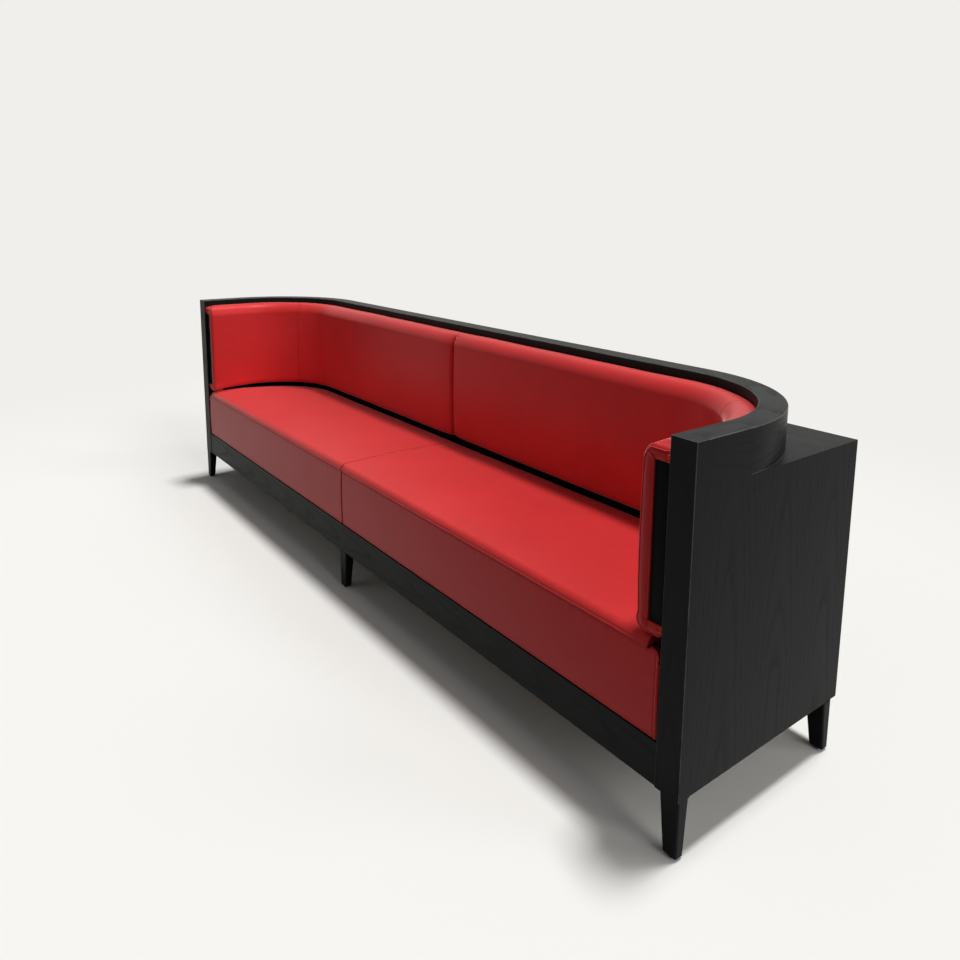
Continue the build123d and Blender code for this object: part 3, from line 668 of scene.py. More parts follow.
def mesh_object(name, points, faces, seam=None, caps=()):
    """Closed mesh from points and quads with outward normals, smooth but for its sharp edges.

    seam is one number a point, the painted shade of seams, tucks and grooves, kept as an attribute for the
    material."""
    mesh = bpy.data.meshes.new(name)
    all_faces = np.asarray(faces).tolist() + [list(cap) for cap in caps]
    mesh.from_pydata(np.asarray(points, dtype=float).reshape(-1, 3).tolist(), [], all_faces)
    if seam is not None:
        layer = mesh.attributes.new("seam", "FLOAT", "POINT")
        layer.data.foreach_set("value", np.clip(seam, 0, 1).astype(np.float32).ravel())
    work = bmesh.new()
    work.from_mesh(mesh)
    bmesh.ops.remove_doubles(work, verts=work.verts, dist=MERGE_DISTANCE)
    bmesh.ops.recalc_face_normals(work, faces=work.faces)
    if work.calc_volume(signed=True) < 0:
        bmesh.ops.reverse_faces(work, faces=work.faces)
    open_edges = sum(1 for edge in work.edges if len(edge.link_faces) != 2)
    work.to_mesh(mesh)
    work.free()
    mesh.polygons.foreach_set("use_smooth", np.ones(len(mesh.polygons), dtype=bool))
    mesh.set_sharp_from_angle(angle=SHARP_TURN)
    print(name, len(mesh.polygons), "faces,", open_edges, "open edges")
    return linked_object(name, mesh)


def row_places(start, end, start_steps, end_steps, step):
    """Places from start to end: given distances in from each end, and even steps between."""
    inner_start = start + start_steps[-1]
    inner_end = end - end_steps[-1]
    count = max(2, int(round((inner_end - inner_start) / step)))
    between = np.linspace(inner_start, inner_end, count + 1)[1:-1]
    return np.concatenate([start + start_steps, between, (end - end_steps)[::-1]])


def steps_in(radius, fine, fine_reach, middle=0.0025, middle_reach=0.04):
    """Distances in from an end: a quarter circle's, then fine steps, then middling steps."""
    angle = np.linspace(math.pi / 2, 0, 9)
    roll = radius * (1 - np.sin(angle))
    near = np.arange(radius + fine, fine_reach, fine)
    last = near[-1] if len(near) else radius
    return np.concatenate([roll, near, np.arange(last + middle, middle_reach, middle)])


# %% [markdown]
# The back and wing pads share one section. Its outer line is a large roll at the
# top, a slightly crowned face, a smaller roll and a flat at the bottom; its inner
# line goes round the black core. Both lines have as many points in each stretch, so
# that the open end at the wing's front is a band with quads straight across it.

# %% Section of the back and wing pads
PAD_TOP = pad_high[2]
PAD_BOTTOM = pad_low[2] + 0.005
PAD_THICKNESS = 0.078
PAD_CROWN = 0.003
TOP_ROLL = 0.050
BOTTOM_ROLL = 0.027
CONTACT_GAP = 0.0004
CORE_TOP = core_high[2]
CORE_BOTTOM = core_low[2]
CORE_THICKNESS = 0.049
LEATHER_CLEARANCE = 0.0006
STRETCH_POINTS = (60, 58, 24, 12)


def arc(centre, radius, start, end, count):
    """Points on a circle, from angle start to end in degrees, as (out, height)."""
    angle = np.radians(np.linspace(start, end, count))
    return np.stack([centre[0] + radius * np.cos(angle), centre[1] + radius * np.sin(angle)], axis=1)


def pad_section():
    """Outer and inner line of the pad as (out from the rail, height), from top to bottom."""
    top_count, face_count, bottom_count, flat_count = STRETCH_POINTS
    face_out = PAD_THICKNESS - PAD_CROWN
    top_centre = (face_out - TOP_ROLL, PAD_TOP - TOP_ROLL)
    bottom_centre = (face_out - BOTTOM_ROLL, PAD_BOTTOM + BOTTOM_ROLL)
    contact_angle = math.degrees(math.acos((CONTACT_GAP - top_centre[0]) / TOP_ROLL))
    top = arc(top_centre, TOP_ROLL, contact_angle, 0, top_count)
    height = np.linspace(top_centre[1], bottom_centre[1], face_count + 2)[1:-1]
    share = (height - bottom_centre[1]) / (top_centre[1] - bottom_centre[1])
    face = np.stack([face_out + PAD_CROWN * np.sin(np.pi * share), height], axis=1)
    bottom = arc(bottom_centre, BOTTOM_ROLL, 0, -90, bottom_count)
    flat = np.linspace(bottom[-1], (CONTACT_GAP, PAD_BOTTOM + 0.001), flat_count + 1)[1:]
    outer = np.concatenate([top, face, bottom, flat])
    inside = CORE_THICKNESS + LEATHER_CLEARANCE
    above = CORE_TOP + LEATHER_CLEARANCE
    below = CORE_BOTTOM - LEATHER_CLEARANCE
    inner = np.concatenate([
        np.linspace((CONTACT_GAP, above), (inside, above), top_count),
        np.linspace((inside, above), (inside, below), face_count + 2)[1:-1],
        np.linspace((inside, below), (CONTACT_GAP, below), bottom_count + flat_count),
    ])
    return outer, inner


OUTER, INNER = pad_section()
SECTION_COUNT = len(OUTER)
DOWN = np.concatenate([[0], np.cumsum(np.linalg.norm(np.diff(OUTER, axis=0), axis=1))])
SECTION_LENGTH = DOWN[-1]
BOTTOM_START = DOWN[STRETCH_POINTS[0] + STRETCH_POINTS[1]]
print("pad section:", SECTION_COUNT, "points on each line,", round(float(SECTION_LENGTH), 3), "m of leather")

# %% [markdown]
# The pads follow the rail's inner face. One function takes a place along the rail,
# a distance out from it and a height, and gives the point in the room.

# %% Plan of the rail's inner face
STRAIGHT = CORNER_X
QUARTER_LENGTH = INNER_RADIUS * math.pi / 2
SEAM_PLACE = STRAIGHT + QUARTER_LENGTH - INNER_RADIUS * SEAM_ANGLE
WING_END = STRAIGHT + QUARTER_LENGTH + CORNER_Y - pad_low[1]


def on_rail(along, out, height, side):
    """World points. Along the rail: a straight back, a quarter circle, a straight wing.

    On the curve the angle from the wing falls from 90 degrees to 0, and points lie at
    the radius less the distance out. side is 1 for the right half and -1 for the left."""
    along, out, height = np.broadcast_arrays(along, out, height)
    turn = np.clip((along - STRAIGHT) / INNER_RADIUS, 0, math.pi / 2)
    angle = math.pi / 2 - turn
    before = np.minimum(along, STRAIGHT)
    after = np.maximum(along - STRAIGHT - QUARTER_LENGTH, 0)
    radius = INNER_RADIUS - out
    x = before + radius * np.cos(angle)
    y = CORNER_Y + radius * np.sin(angle) - after
    return np.stack([x * side, y, height], axis=-1)


print("seam at", round(float(SEAM_PLACE), 3), "m along, wing end at", round(float(WING_END), 3))

# %% [markdown]
# The two back pads meet in the middle, where the leather is pulled back in a deep
# tuck. The tuck starts below the top roll in a small rounded pocket, with folds that
# fan out from it. In the corner a back pad meets its wing pad in a flat sewn seam. The
# pull, the pocket and the folds are functions of two distances: one from the tuck,
# along the rail, and one down the section from its top contact.

# %% How the back and wing pads are drawn in
SOFTNESS = 0.0011
TUCK_TOP = 0.046
TUCK_FADE = 0.030
TUCK_ROLL = 0.016
TUCK_PULL = 0.0070
TUCK_REACH = 0.032
TUCK_FOOT = 0.025
WIDE_FADE = 0.06
WIDE_START = -0.012
POCKET_PLACE = 0.4 * TUCK_FADE
POCKET_RADIUS = 0.007
FOLD_COUNT = 7
FOLD_HEIGHT = 0.0010
FOLD_REACH = 0.020
SEAM_ROLL = 0.0016
FRONT_ROLL = 0.004
FRONT_TOP = 0.8665
FRONT_TOP_REACH = 0.050
FRONT_CLEAR = 0.007
WELT_PLACE = 0.0038
WELT_WIDTH = 0.0013
WELT_HEIGHT = 0.0012
WELT = (WELT_HEIGHT, WELT_PLACE, WELT_WIDTH)
WELT_GROOVE = WELT_PLACE + 2.6 * WELT_WIDTH
GATHERS = 0.0003
GATHER_REACH = 0.03
PUCKERS = 0.0006
PUCKER_LENGTH = 0.011
PUCKER_REACH = 0.014
HOLLOW = 0.0007
HOLLOW_LENGTH = 0.83
POST_RISE = 0.004
SAG = 0.0130
SAG_REACH = 0.05
LEDGE_DEPTH = 0.0112
LEDGE_OVERLAP = 0.0046
LEDGE_DROP = 0.0054


def inside_section(top_reach, end_reach):
    """1 over the section, falling to 0 within these reaches of its top and its end."""
    return smooth_step(DOWN / top_reach) * smooth_step((SECTION_LENGTH - DOWN) / end_reach)


LEATHER_SHOWN = inside_section(0.014, 0.030)
DRAWN_ROUND = inside_section(0.004, 0.012)
ON_TOP = bell(DOWN - 0.028, 0.042) * smooth_step(DOWN / 0.003)
NEAR_POST = smooth_step((0.014 - OUTER[:, 0]) / 0.014) * (OUTER[:, 1] > 0.8)
ON_FACE = smooth_step((DOWN - 0.07) / 0.06) * smooth_step((BOTTOM_START - DOWN) / 0.06)
UNDERNEATH = smooth_step((DOWN - BOTTOM_START) / 0.025) * smooth_step((SECTION_LENGTH - DOWN) / 0.020)


def tuck_shape(distance):
    """Move of the outer line beside the middle tuck, at distances from it.

    A quarter-circle roll and a wide pull fade in below the top; round the pocket, the
    folds are a sine of the direction from its top and fall off with the distance."""
    distance = distance[:, None]
    below = DOWN[None, :] - TUCK_TOP
    above_foot = smooth_step((SECTION_LENGTH - DOWN) / TUCK_FOOT)
    under_top = smooth_step(below / TUCK_FADE) * above_foot
    wide = smooth_step((below - WIDE_START) / WIDE_FADE) * above_foot
    move = -rolled_in(distance, TUCK_ROLL) * under_top - TUCK_PULL * fading(distance, TUCK_REACH) * wide
    centre = below - POCKET_PLACE
    away = np.hypot(distance, centre)
    direction = np.arctan2(distance, centre)
    folds = np.sin(FOLD_COUNT * direction + 0.6) * bell(away, FOLD_REACH) * smooth_step(away / POCKET_RADIUS)
    return move + FOLD_HEIGHT * folds


def seam_shape(distance):
    """Move beside the flat corner seam: a small roll, and faint gathers of two sines down the section."""
    distance = distance[:, None]
    gathers = GATHERS * (wave(DOWN, 0.041) + 0.6 * wave(DOWN, 0.024, 1)) * fading(distance, GATHER_REACH)
    return -rolled_in(distance, SEAM_ROLL) * DRAWN_ROUND + gathers * LEATHER_SHOWN


def front_shape(distance):
    """Move near the wing's open front: a roll, a raised welt with a groove, puckers and a sagging bottom."""
    distance = distance[:, None]
    welt = ridges(distance, (WELT, (-0.6 * WELT_HEIGHT, WELT_GROOVE, WELT_WIDTH)))
    puckers = PUCKERS * wave(distance, PUCKER_LENGTH) * fading(distance, PUCKER_REACH) * ON_TOP
    sag = SAG * fading(distance, SAG_REACH) * UNDERNEATH
    return -rolled_in(distance, FRONT_ROLL) * DRAWN_ROUND + welt * DRAWN_ROUND + puckers + sag


def front_top(distance):
    """Height that the top is pressed down to near the wing's open front: low and flat at the end,
    a little higher beside the post, and out of reach of the roll further in."""
    distance = distance[:, None]
    level = FRONT_TOP + (PAD_TOP + FRONT_CLEAR - FRONT_TOP) * smooth_step(distance / FRONT_TOP_REACH)
    return level - rolled_in(distance, FRONT_ROLL) + ridges(distance, (WELT,)) + POST_RISE * NEAR_POST


def slack_shape(places, world):
    """Slow waves all over the face, and two long shallow hollows where the foam is softer."""
    hollow = HOLLOW * wave(places[:, None], HOLLOW_LENGTH, 0.9) * ON_FACE
    return (SOFTNESS * undulation(world) + hollow) * LEATHER_SHOWN


# %% [markdown]
# At the wing's front the pad ends in an open band round the black core. The leather
# is turned in there: a plump strip stands at the front of the face and ends in an
# arch, the top return is folded over it with a welt and a second ridge, and both
# returns end in a small pinched roll by the post. All are bumps on the flat band,
# measured across and along it.

# %% The band at the wing's open front
CAP_ROWS = 56
STRIP_MIDDLE = 0.0615
ARCH_HEIGHT = CORE_TOP - 0.005
ARCH_RADIUS = 0.0172
STRIP_BELLY = 0.0046
RETURN_BELLY = 0.0022
RETURN_START = CORE_THICKNESS + 0.004
RETURN_FADE = 0.012
RETURN_LAP = 0.002
RETURN_EDGE = 0.004
ARCH_LEAD = 0.008
ARCH_FADE = 0.010
ARCH_INNER = 0.036
ARCH_INNER_FADE = 0.006
LOW_CORNER_BOTTOM = 0.468
LOW_CORNER_TOP = 0.502
LOW_CORNER_FADE = 0.008
BAND_WAVE = 0.0008
BAND_WAVE_LENGTH = 0.11
PINCH_WAVE_LENGTH = 0.012
EDGE_RIDGES = ((0.0016, 0.035, 0.028), (-0.0014, 0.105, 0.032))
LIP_RIDGE = ((0.0009, 0.955, 0.028),)
FOLD_RIDGES = ((0.0014, 0.035, 0.030), (-0.0026, 0.17, 0.075), (0.0022, 0.37, 0.040), (-0.0016, 0.50, 0.070))
ARCH_RIDGES = ((-0.0030, 0.0012, 0.0015), (0.0014, -0.0016, 0.0014))
CREASE_RIDGES = ((0.0026, 0.0475, 0.0014), (-0.0018, 0.0515, 0.0020))
PINCH_RIDGES = ((0.0034, 0.0050, 0.0042), (-0.0026, 0.0135, 0.0035))


def band_relief(across, out, height):
    """How far the leather stands proud of the open end.

    across is 0 on the outer and 1 on the inner line. The belly is a half sine; folds,
    grooves and creases are bells about their own lines."""
    over_core = smooth_step((RETURN_START - out) / RETURN_FADE)
    top_return = over_core * smooth_step((height - CORE_TOP + RETURN_LAP) / RETURN_EDGE)
    bottom_return = over_core * smooth_step((CORE_BOTTOM + RETURN_LAP - height) / RETURN_EDGE)
    half_sine = np.sin(np.pi * across)
    belly = (STRIP_BELLY + (RETURN_BELLY - STRIP_BELLY) * over_core) * half_sine ** 0.8
    relief = belly + ridges(across, EDGE_RIDGES) + ridges(across, LIP_RIDGE) * over_core
    relief = relief + ridges(across, FOLD_RIDGES) * top_return
    from_arch = np.hypot(out - STRIP_MIDDLE, np.maximum(height - ARCH_HEIGHT, 0)) - ARCH_RADIUS
    near_arch = smooth_step((height - ARCH_HEIGHT + ARCH_LEAD) / ARCH_FADE)
    near_arch = near_arch * smooth_step((out - ARCH_INNER) / ARCH_INNER_FADE)
    relief = relief + ridges(from_arch, ARCH_RIDGES) * near_arch
    low_corner = smooth_step((LOW_CORNER_TOP - height) / LOW_CORNER_FADE)
    low_corner = low_corner * smooth_step((height - LOW_CORNER_BOTTOM) / LOW_CORNER_FADE)
    relief = relief + ridges(out, CREASE_RIDGES) * low_corner
    relief = relief + BAND_WAVE * wave(height, BAND_WAVE_LENGTH, 0.5) * half_sine * (1 - top_return)
    pinch = ridges(out, PINCH_RIDGES) * (1 + 0.5 * wave(height, PINCH_WAVE_LENGTH))
    return relief + pinch * np.clip(top_return + bottom_return, 0, 1) * half_sine ** 0.5


def open_band(end_loop, end_place, side):
    """Points of the rows between the outer and the inner line, each a share of the way across."""
    outer = end_loop[:SECTION_COUNT]
    inner = end_loop[SECTION_COUNT:][::-1]
    across = np.linspace(0, 1, CAP_ROWS + 2)[1:-1, None]
    between = (1 - across)[..., None] * outer[None] + across[..., None] * inner[None]
    relief = band_relief(across, between[..., 0], between[..., 1])
    return on_rail(end_place + relief, between[..., 0], between[..., 1], side)


# %% [markdown]
# One function builds a pad from its two ends. It adds up the moves, carries the
# moved loops along the rail, and closes both ends: with quads straight across the
# band where the end is hidden, and with the modelled band at the open front. Two narrow
# faces close the band's sides, where it bulges past the last loop.

# %% Back and wing pads
PAD_STEP = 0.010
TUCK_STEPS = steps_in(TUCK_ROLL, fine=0.0018, fine_reach=0.024)
SEAM_STEPS = steps_in(SEAM_ROLL, fine=0.001, fine_reach=0.006)
FRONT_STEPS = steps_in(FRONT_ROLL, fine=0.0008, fine_reach=0.014)
TOP_SOFTNESS = 0.0014
LEDGE_RISE = 0.0006
MIDDLE_GAP = 0.0001
SEAM_GAP = 0.0002
TUCK_SHADE = 0.006
END_SHADE = 0.0012
GROOVE_SHADE = 0.5
GROOVE_WIDTH = 0.0011


def build_pad(name, side, start, end, tuck, open_front):
    """Closed leather pad between two places along the rail."""
    places = row_places(start, end, TUCK_STEPS if tuck else SEAM_STEPS,
                        FRONT_STEPS if open_front else SEAM_STEPS, PAD_STEP)
    rows = len(places)
    loops = np.repeat(np.concatenate([OUTER, INNER[::-1]])[None], rows, axis=0)
    normals = loop_normals(loops)
    world = on_rail(places[:, None], OUTER[:, 0], OUTER[:, 1], side)
    move = slack_shape(places, world)
    move = move + (tuck_shape(places - start) if tuck else seam_shape(places - start))
    move = move + (front_shape(end - places) if open_front else seam_shape(end - places))
    loops[:, :SECTION_COUNT] += normals[:, :SECTION_COUNT] * move[..., None]
    if open_front:
        free = loops[:, :SECTION_COUNT, 1]
        loops[:, :SECTION_COUNT, 1] = soft_minimum(free, front_top(end - places), TOP_SOFTNESS)
        turned = smooth_step((LEDGE_DEPTH - end + places) / LEDGE_RISE)[:, None]
        inner = loops[:, SECTION_COUNT:]
        beside, under = inner[..., 0] > CORE_THICKNESS, inner[..., 1] < CORE_BOTTOM
        inner[..., 0] -= LEDGE_OVERLAP * turned * beside
        inner[..., 1] -= LEDGE_DROP * turned * under
    world = on_rail(places[:, None], loops[..., 0], loops[..., 1], side)
    # The seam mask is painted shade: in the middle tuck below the top, at the corner seam's ends, and in the
    # groove behind the welt.
    seam = np.zeros((rows, loops.shape[1]))
    if tuck:
        under_top = smooth_step((DOWN - TUCK_TOP) / TUCK_FADE)
        seam[:, :SECTION_COUNT] += fading(places - start, TUCK_SHADE)[:, None] * under_top
    else:
        seam += fading(places - start, END_SHADE)[:, None]
    if open_front:
        groove = bell(end - places - WELT_GROOVE, GROOVE_WIDTH)[:, None]
        seam[:, :SECTION_COUNT] += GROOVE_SHADE * groove * DRAWN_ROUND
    else:
        seam += fading(end - places, END_SHADE)[:, None]
    columns = loops.shape[1]
    outer_index = np.arange(SECTION_COUNT)
    inner_index = columns - 1 - outer_index
    last_row = (rows - 1) * columns
    points, seams = [world.reshape(-1, 3)], [seam.reshape(-1)]
    bands = [last_row + outer_index]
    caps = []
    if open_front:
        cap = open_band(loops[-1], places[-1], side)
        cap_index = rows * columns + np.arange(CAP_ROWS * SECTION_COUNT).reshape(CAP_ROWS, SECTION_COUNT)
        bands += list(cap_index)
        points.append(cap.reshape(-1, 3))
        seams.append(np.zeros(CAP_ROWS * SECTION_COUNT))
        caps = [[last_row + outer_index[column], *cap_index[:, column], last_row + inner_index[column]]
                for column in (0, -1)]
    bands.append(last_row + inner_index)
    faces = [grid_faces(rows, columns), band_faces(outer_index, inner_index)]
    faces += [band_faces(low, high) for low, high in zip(bands[:-1], bands[1:])]
    return mesh_object(name, np.concatenate(points), np.concatenate(faces), np.concatenate(seams), caps)


def dress(piece, node):
    """Leather piece that stands for its CAD solid and rides on the bench."""
    piece.data.materials.append(red_leather)
    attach(piece, BODY)
    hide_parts(node)


for side, hand in HALVES:
    back = build_pad(f"{hand}_back_cushion", side, MIDDLE_GAP, SEAM_PLACE - SEAM_GAP, True, False)
    dress(back, f"{hand}_back_pad")
    wing = build_pad(f"{hand}_wing_cushion", side, SEAM_PLACE + SEAM_GAP, WING_END, False, True)
    dress(wing, f"{hand}_wing_pad")

# %% [markdown]
# The black core stands a little back between the returns. A thin board of the same
# black closes it off just behind the leather's edge, so that the strip borders on
# plain black, as it does in the photograph.

# %% Front boards of the wing cores
BOARD_SETBACK = 0.0028
BOARD_PLAY = 0.0004
BOARD_BEVEL = 0.0008
CORE_PLAY = 0.0003


def build_core_front(name, side):
    """Flat board with a small bevel all round, in front of a wing's core."""
    low_x = float(pad_high[0]) - (CORE_THICKNESS + LEATHER_CLEARANCE - LEDGE_OVERLAP - BOARD_PLAY)
    high_x = float(pad_high[0]) - CONTACT_GAP - BOARD_PLAY
    low_z = CORE_BOTTOM - LEATHER_CLEARANCE - LEDGE_DROP + BOARD_PLAY
    high_z = CORE_TOP + LEATHER_CLEARANCE - BOARD_PLAY
    corners = np.array([(low_x, low_z), (high_x, low_z), (high_x, high_z), (low_x, high_z)])
    inward = np.array([(1, 1), (-1, 1), (-1, -1), (1, -1)]) * BOARD_BEVEL
    front_y = pad_low[1] + BOARD_SETBACK
    rear_y = core_low[1] - CORE_PLAY
    levels = [(front_y, corners + inward), (front_y + BOARD_BEVEL, corners), (rear_y, corners)]
    points = [(side * x, y, z) for y, ring in levels for x, z in ring]
    sides = [(4 * level + i, 4 * level + (i + 1) % 4, 4 * level + 4 + (i + 1) % 4, 4 * level + 4 + i)
             for level in range(2) for i in range(4)]
    return mesh_object(name, points, sides + [(0, 1, 2, 3), (11, 10, 9, 8)])


for side, hand in HALVES:
    front = build_core_front(f"{hand}_wing_core_front", side)
    front.data.materials.append(black_board)
    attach(front, BODY)

# %% [markdown]
# A seat cushion is a section from rear to front that is carried along the bench.
# Its front edge is a soft roll above a sewn lip, its top has a low crown, and its
# rear edge is crisp and follows the pads round the corner. Above the lip runs a
# fine topstitched groove. All rows are worked out at once.

# %% Seat cushions
SEAT_END_SHORT = 0.022
SEAT_END_X = seat_high[0] - SEAT_END_SHORT
SEAT_FRONT_Y = seat_low[1]
SEAT_REAR_Y = seat_high[1]
SEAT_BOTTOM = seat_low[2]
SEAT_TOP = seat_high[2]
STEP_Z = facing_high[2] + 0.0004
BEHIND_Y = facing_high[1] + 0.0005
SEAT_RADIUS = SEAT_REAR_Y - CORNER_Y
SEAT_FRONT_ROLL = 0.022
SEAT_REAR_ROLL = 0.005
SEAT_EAR_REAR_Y = FRONT_Y + 0.072
SEAT_SPLIT_ROLL = 0.0060
SEAT_END_ROLL = 0.0024
SEAT_NOTCH_PLAN = 0.007
SEAT_CROWN = 0.0060
SEAT_REAR_DROP = 0.006
SEAT_SLACK = 0.0011
FRONT_RIPPLE = 0.0004
SEAT_POINTS = (20, 8, 6, 15, 72, 8, 14)
LIP_PLACE = 0.0020
LIP_WIDTH = 0.0019
LIP_PROUD = 0.0011
STITCH_LINE = 0.0052
STITCH_GROOVE = 0.0007
SEAT_STEP = 0.010
FINE_STEP = 0.0015
SPLIT_SHADE = 0.0035
STITCH_SHADE = 0.35


def seat_outline(x):
    """Front and rear Y of the cushion at each x: straight, round the corner, then the ear."""
    out = np.clip((x - CORNER_X) / SEAT_RADIUS, 0, 1)
    rear = CORNER_Y + SEAT_RADIUS * np.sqrt(1 - out ** 2)
    past = smooth_step((x - CORNER_X - SEAT_RADIUS) / 0.006)
    rear = rear + (SEAT_EAR_REAR_Y - CORNER_Y) * past
    rear = rear - rolled_in(x - SPLIT_X, SEAT_NOTCH_PLAN)
    return np.full_like(x, SEAT_FRONT_Y), rear


def lip_profile(height):
    """How far the front stands back at a height over the seam: a quarter circle, less the
    lip, plus the stitch groove."""
    share = np.clip(height / SEAT_FRONT_ROLL, 0, 1)
    back = SEAT_FRONT_ROLL * (1 - np.sqrt(1 - share ** 2))
    return back + ridges(height, ((-LIP_PROUD, LIP_PLACE, LIP_WIDTH), (STITCH_GROOVE, STITCH_LINE, 0.0011)))


def seat_loops(x):
    """Closed sections (rows, columns, 2) as (y, z), clockwise with y to the right."""
    under_count, behind_count, ledge_count, roll_count, top_count, corner_count, drop_count = SEAT_POINTS
    front, rear = [value[:, None] for value in seat_outline(x)]
    one = np.ones_like(front)

    def ramp(count):
        return np.linspace(0, 1, count)[None, :]

    underneath = ramp(under_count)[:, :-1]
    behind = ramp(behind_count)[:, :-1]
    ledge = ramp(ledge_count)[:, :-1]
    angle = np.concatenate([np.linspace(0, 20, roll_count), np.linspace(20, 90, roll_count)[1:]])
    height = SEAT_FRONT_ROLL * np.sin(np.radians(angle))[None, :]
    across = ramp(top_count)[:, 1:-1]
    corner = np.radians(np.linspace(0, 90, corner_count))[None, :]
    drop = ramp(drop_count)[:, 1:-1]
    corner_y = SEAT_REAR_ROLL * (1 - np.sin(corner))
    corner_z = SEAT_REAR_ROLL * (1 - np.cos(corner))
    front_z = STEP_Z + SEAT_FRONT_ROLL
    rear_z = SEAT_TOP - SEAT_REAR_DROP
    top_y = front + SEAT_FRONT_ROLL + (rear - SEAT_REAR_ROLL - front - SEAT_FRONT_ROLL) * across
    parts = [
        (rear + (BEHIND_Y - rear) * underneath, SEAT_BOTTOM + 0 * underneath * one),
        (BEHIND_Y + 0 * behind * one, SEAT_BOTTOM + (STEP_Z - SEAT_BOTTOM) * behind * one),
        (BEHIND_Y + (front - BEHIND_Y) * ledge, STEP_Z + 0 * ledge * one),
        (front + lip_profile(height), STEP_Z + height * one),
        (top_y, (front_z + (rear_z - front_z) * across + 4 * across * (1 - across) * SEAT_CROWN) * one),
        (rear - corner_y, (rear_z - corner_z) * one),
        (rear + 0 * drop, (rear_z - SEAT_REAR_ROLL) + (SEAT_BOTTOM - rear_z + SEAT_REAR_ROLL) * drop * one),
    ]
    return np.stack([np.concatenate([part[axis] for part in parts], axis=1) for axis in (0, 1)], axis=2)


def seat_slack(places, world, loops):
    """Waves of the leather: slow ones on the top, short shallow ones along the front roll."""
    over = smooth_step((loops[..., 1] - STEP_Z - 0.008) / 0.02)
    waves = SEAT_SLACK * undulation(world * np.array([1.0, 1.6, 1.0])) * over
    front_edge = bell(loops[..., 0] - SEAT_FRONT_Y, 0.03) * over
    ripple = wave(places, 0.047) + 0.7 * wave(places, 0.083, 1.3)
    return waves + FRONT_RIPPLE * front_edge * ripple[:, None]


def along_bench(places, loops, side):
    """World points of sections (y, z) that stand at places along X."""
    world_x = np.broadcast_to(places[:, None] * side, loops.shape[:2])
    return np.stack([world_x, loops[..., 0], loops[..., 1]], axis=2)


def moved_mesh(name, side, places, loops, move, seam):
    """Closed mesh of sections along X, each point moved outward by its move."""
    moved = loops + loop_normals(loops) * move[..., None]
    rows, columns = loops.shape[:2]
    return mesh_object(name, along_bench(places, moved, side), grid_faces(rows, columns), seam,
                       end_caps(rows, columns))


def build_seat(name, side):
    """Seat cushion: sections along X, drawn in over a small roll at each end."""
    places = row_places(SPLIT_X, SEAT_END_X, steps_in(SEAT_SPLIT_ROLL, FINE_STEP, 0.012),
                        steps_in(SEAT_END_ROLL, FINE_STEP, 0.012), SEAT_STEP)
    turning = CORNER_X + SEAT_RADIUS * np.sin(np.radians(np.linspace(50, 90, 14)))
    places = np.sort(np.concatenate([places, turning]))
    inset = rolled_in(places - SPLIT_X, SEAT_SPLIT_ROLL) + rolled_in(SEAT_END_X - places, SEAT_END_ROLL)
    loops = seat_loops(places)
    move = seat_slack(places, along_bench(places, loops, side), loops) - inset[:, None]
    # The seam mask darkens the seam line along the lip and paints shade into the stitch groove and at the
    # cushion's split and outer ends.
    front = loops[..., 0] < SEAT_FRONT_Y + 0.012
    seam = ridges(loops[..., 1] - STEP_Z, ((1, 0, 0.0009), (STITCH_SHADE, STITCH_LINE, 0.0010))) * front
    seam = seam + (fading(places - SPLIT_X, SPLIT_SHADE) + fading(SEAT_END_X - places, END_SHADE))[:, None]
    return moved_mesh(name, side, places, loops, move, seam)


for side, hand in HALVES:
    seat = build_seat(f"{hand}_seat_cushion", side)
    dress(seat, f"{hand}_seat_pad")

# %% [markdown]
# The upright facing under the seat's front edge is thin foam and leather on a board.
# Its top edge is a soft roll under the seat's lip with a second line of topstitching,
# its bottom edge has a small raised turn, and near its outer end a vertical seam
# closes the cover, so that the last centimetre is a roll of its own. The facing goes
# on past the end of the seat, where its top corner is folded down to a small ear.

# %% Seat facings
FACING_FRONT_Y = facing_low[1]
FACING_REAR_Y = facing_high[1]
FACING_BOTTOM = facing_low[2]
FACING_TOP = facing_high[2]
FACING_END_X = facing_high[0]
FACING_EDGE = 0.0055
FACING_BELLY = 0.003
FACING_END_ROLL = 0.005
FACING_LINE = 0.0058
FACING_RIPPLE = 0.0003
CLOSING_SEAM_INSET = 0.0095
CLOSING_SEAM_DEPTH = 0.0012
CLOSING_SEAM_WIDTH = 0.0015
END_ROLL_HEIGHT = 0.0006
END_ROLL_WIDTH = 0.0028
EAR_LENGTH = 0.030
EAR_DEPTH = 0.0165
EAR_DROP = 0.012


def facing_belly(height):
    """How far the facing's front stands back at each height: a flattened half sine, less a
    low ridge at its bottom edge, plus the groove of the topstitching."""
    share = np.clip((height - FACING_BOTTOM) / (FACING_TOP - FACING_BOTTOM), 0, 1)
    back = FACING_BELLY * (1 - np.sin(np.pi * share) ** 0.6)
    return back + ridges(height, ((-0.0007, FACING_BOTTOM + 0.006, 0.003),
                                  (0.0006, FACING_TOP - FACING_LINE, 0.0012)))


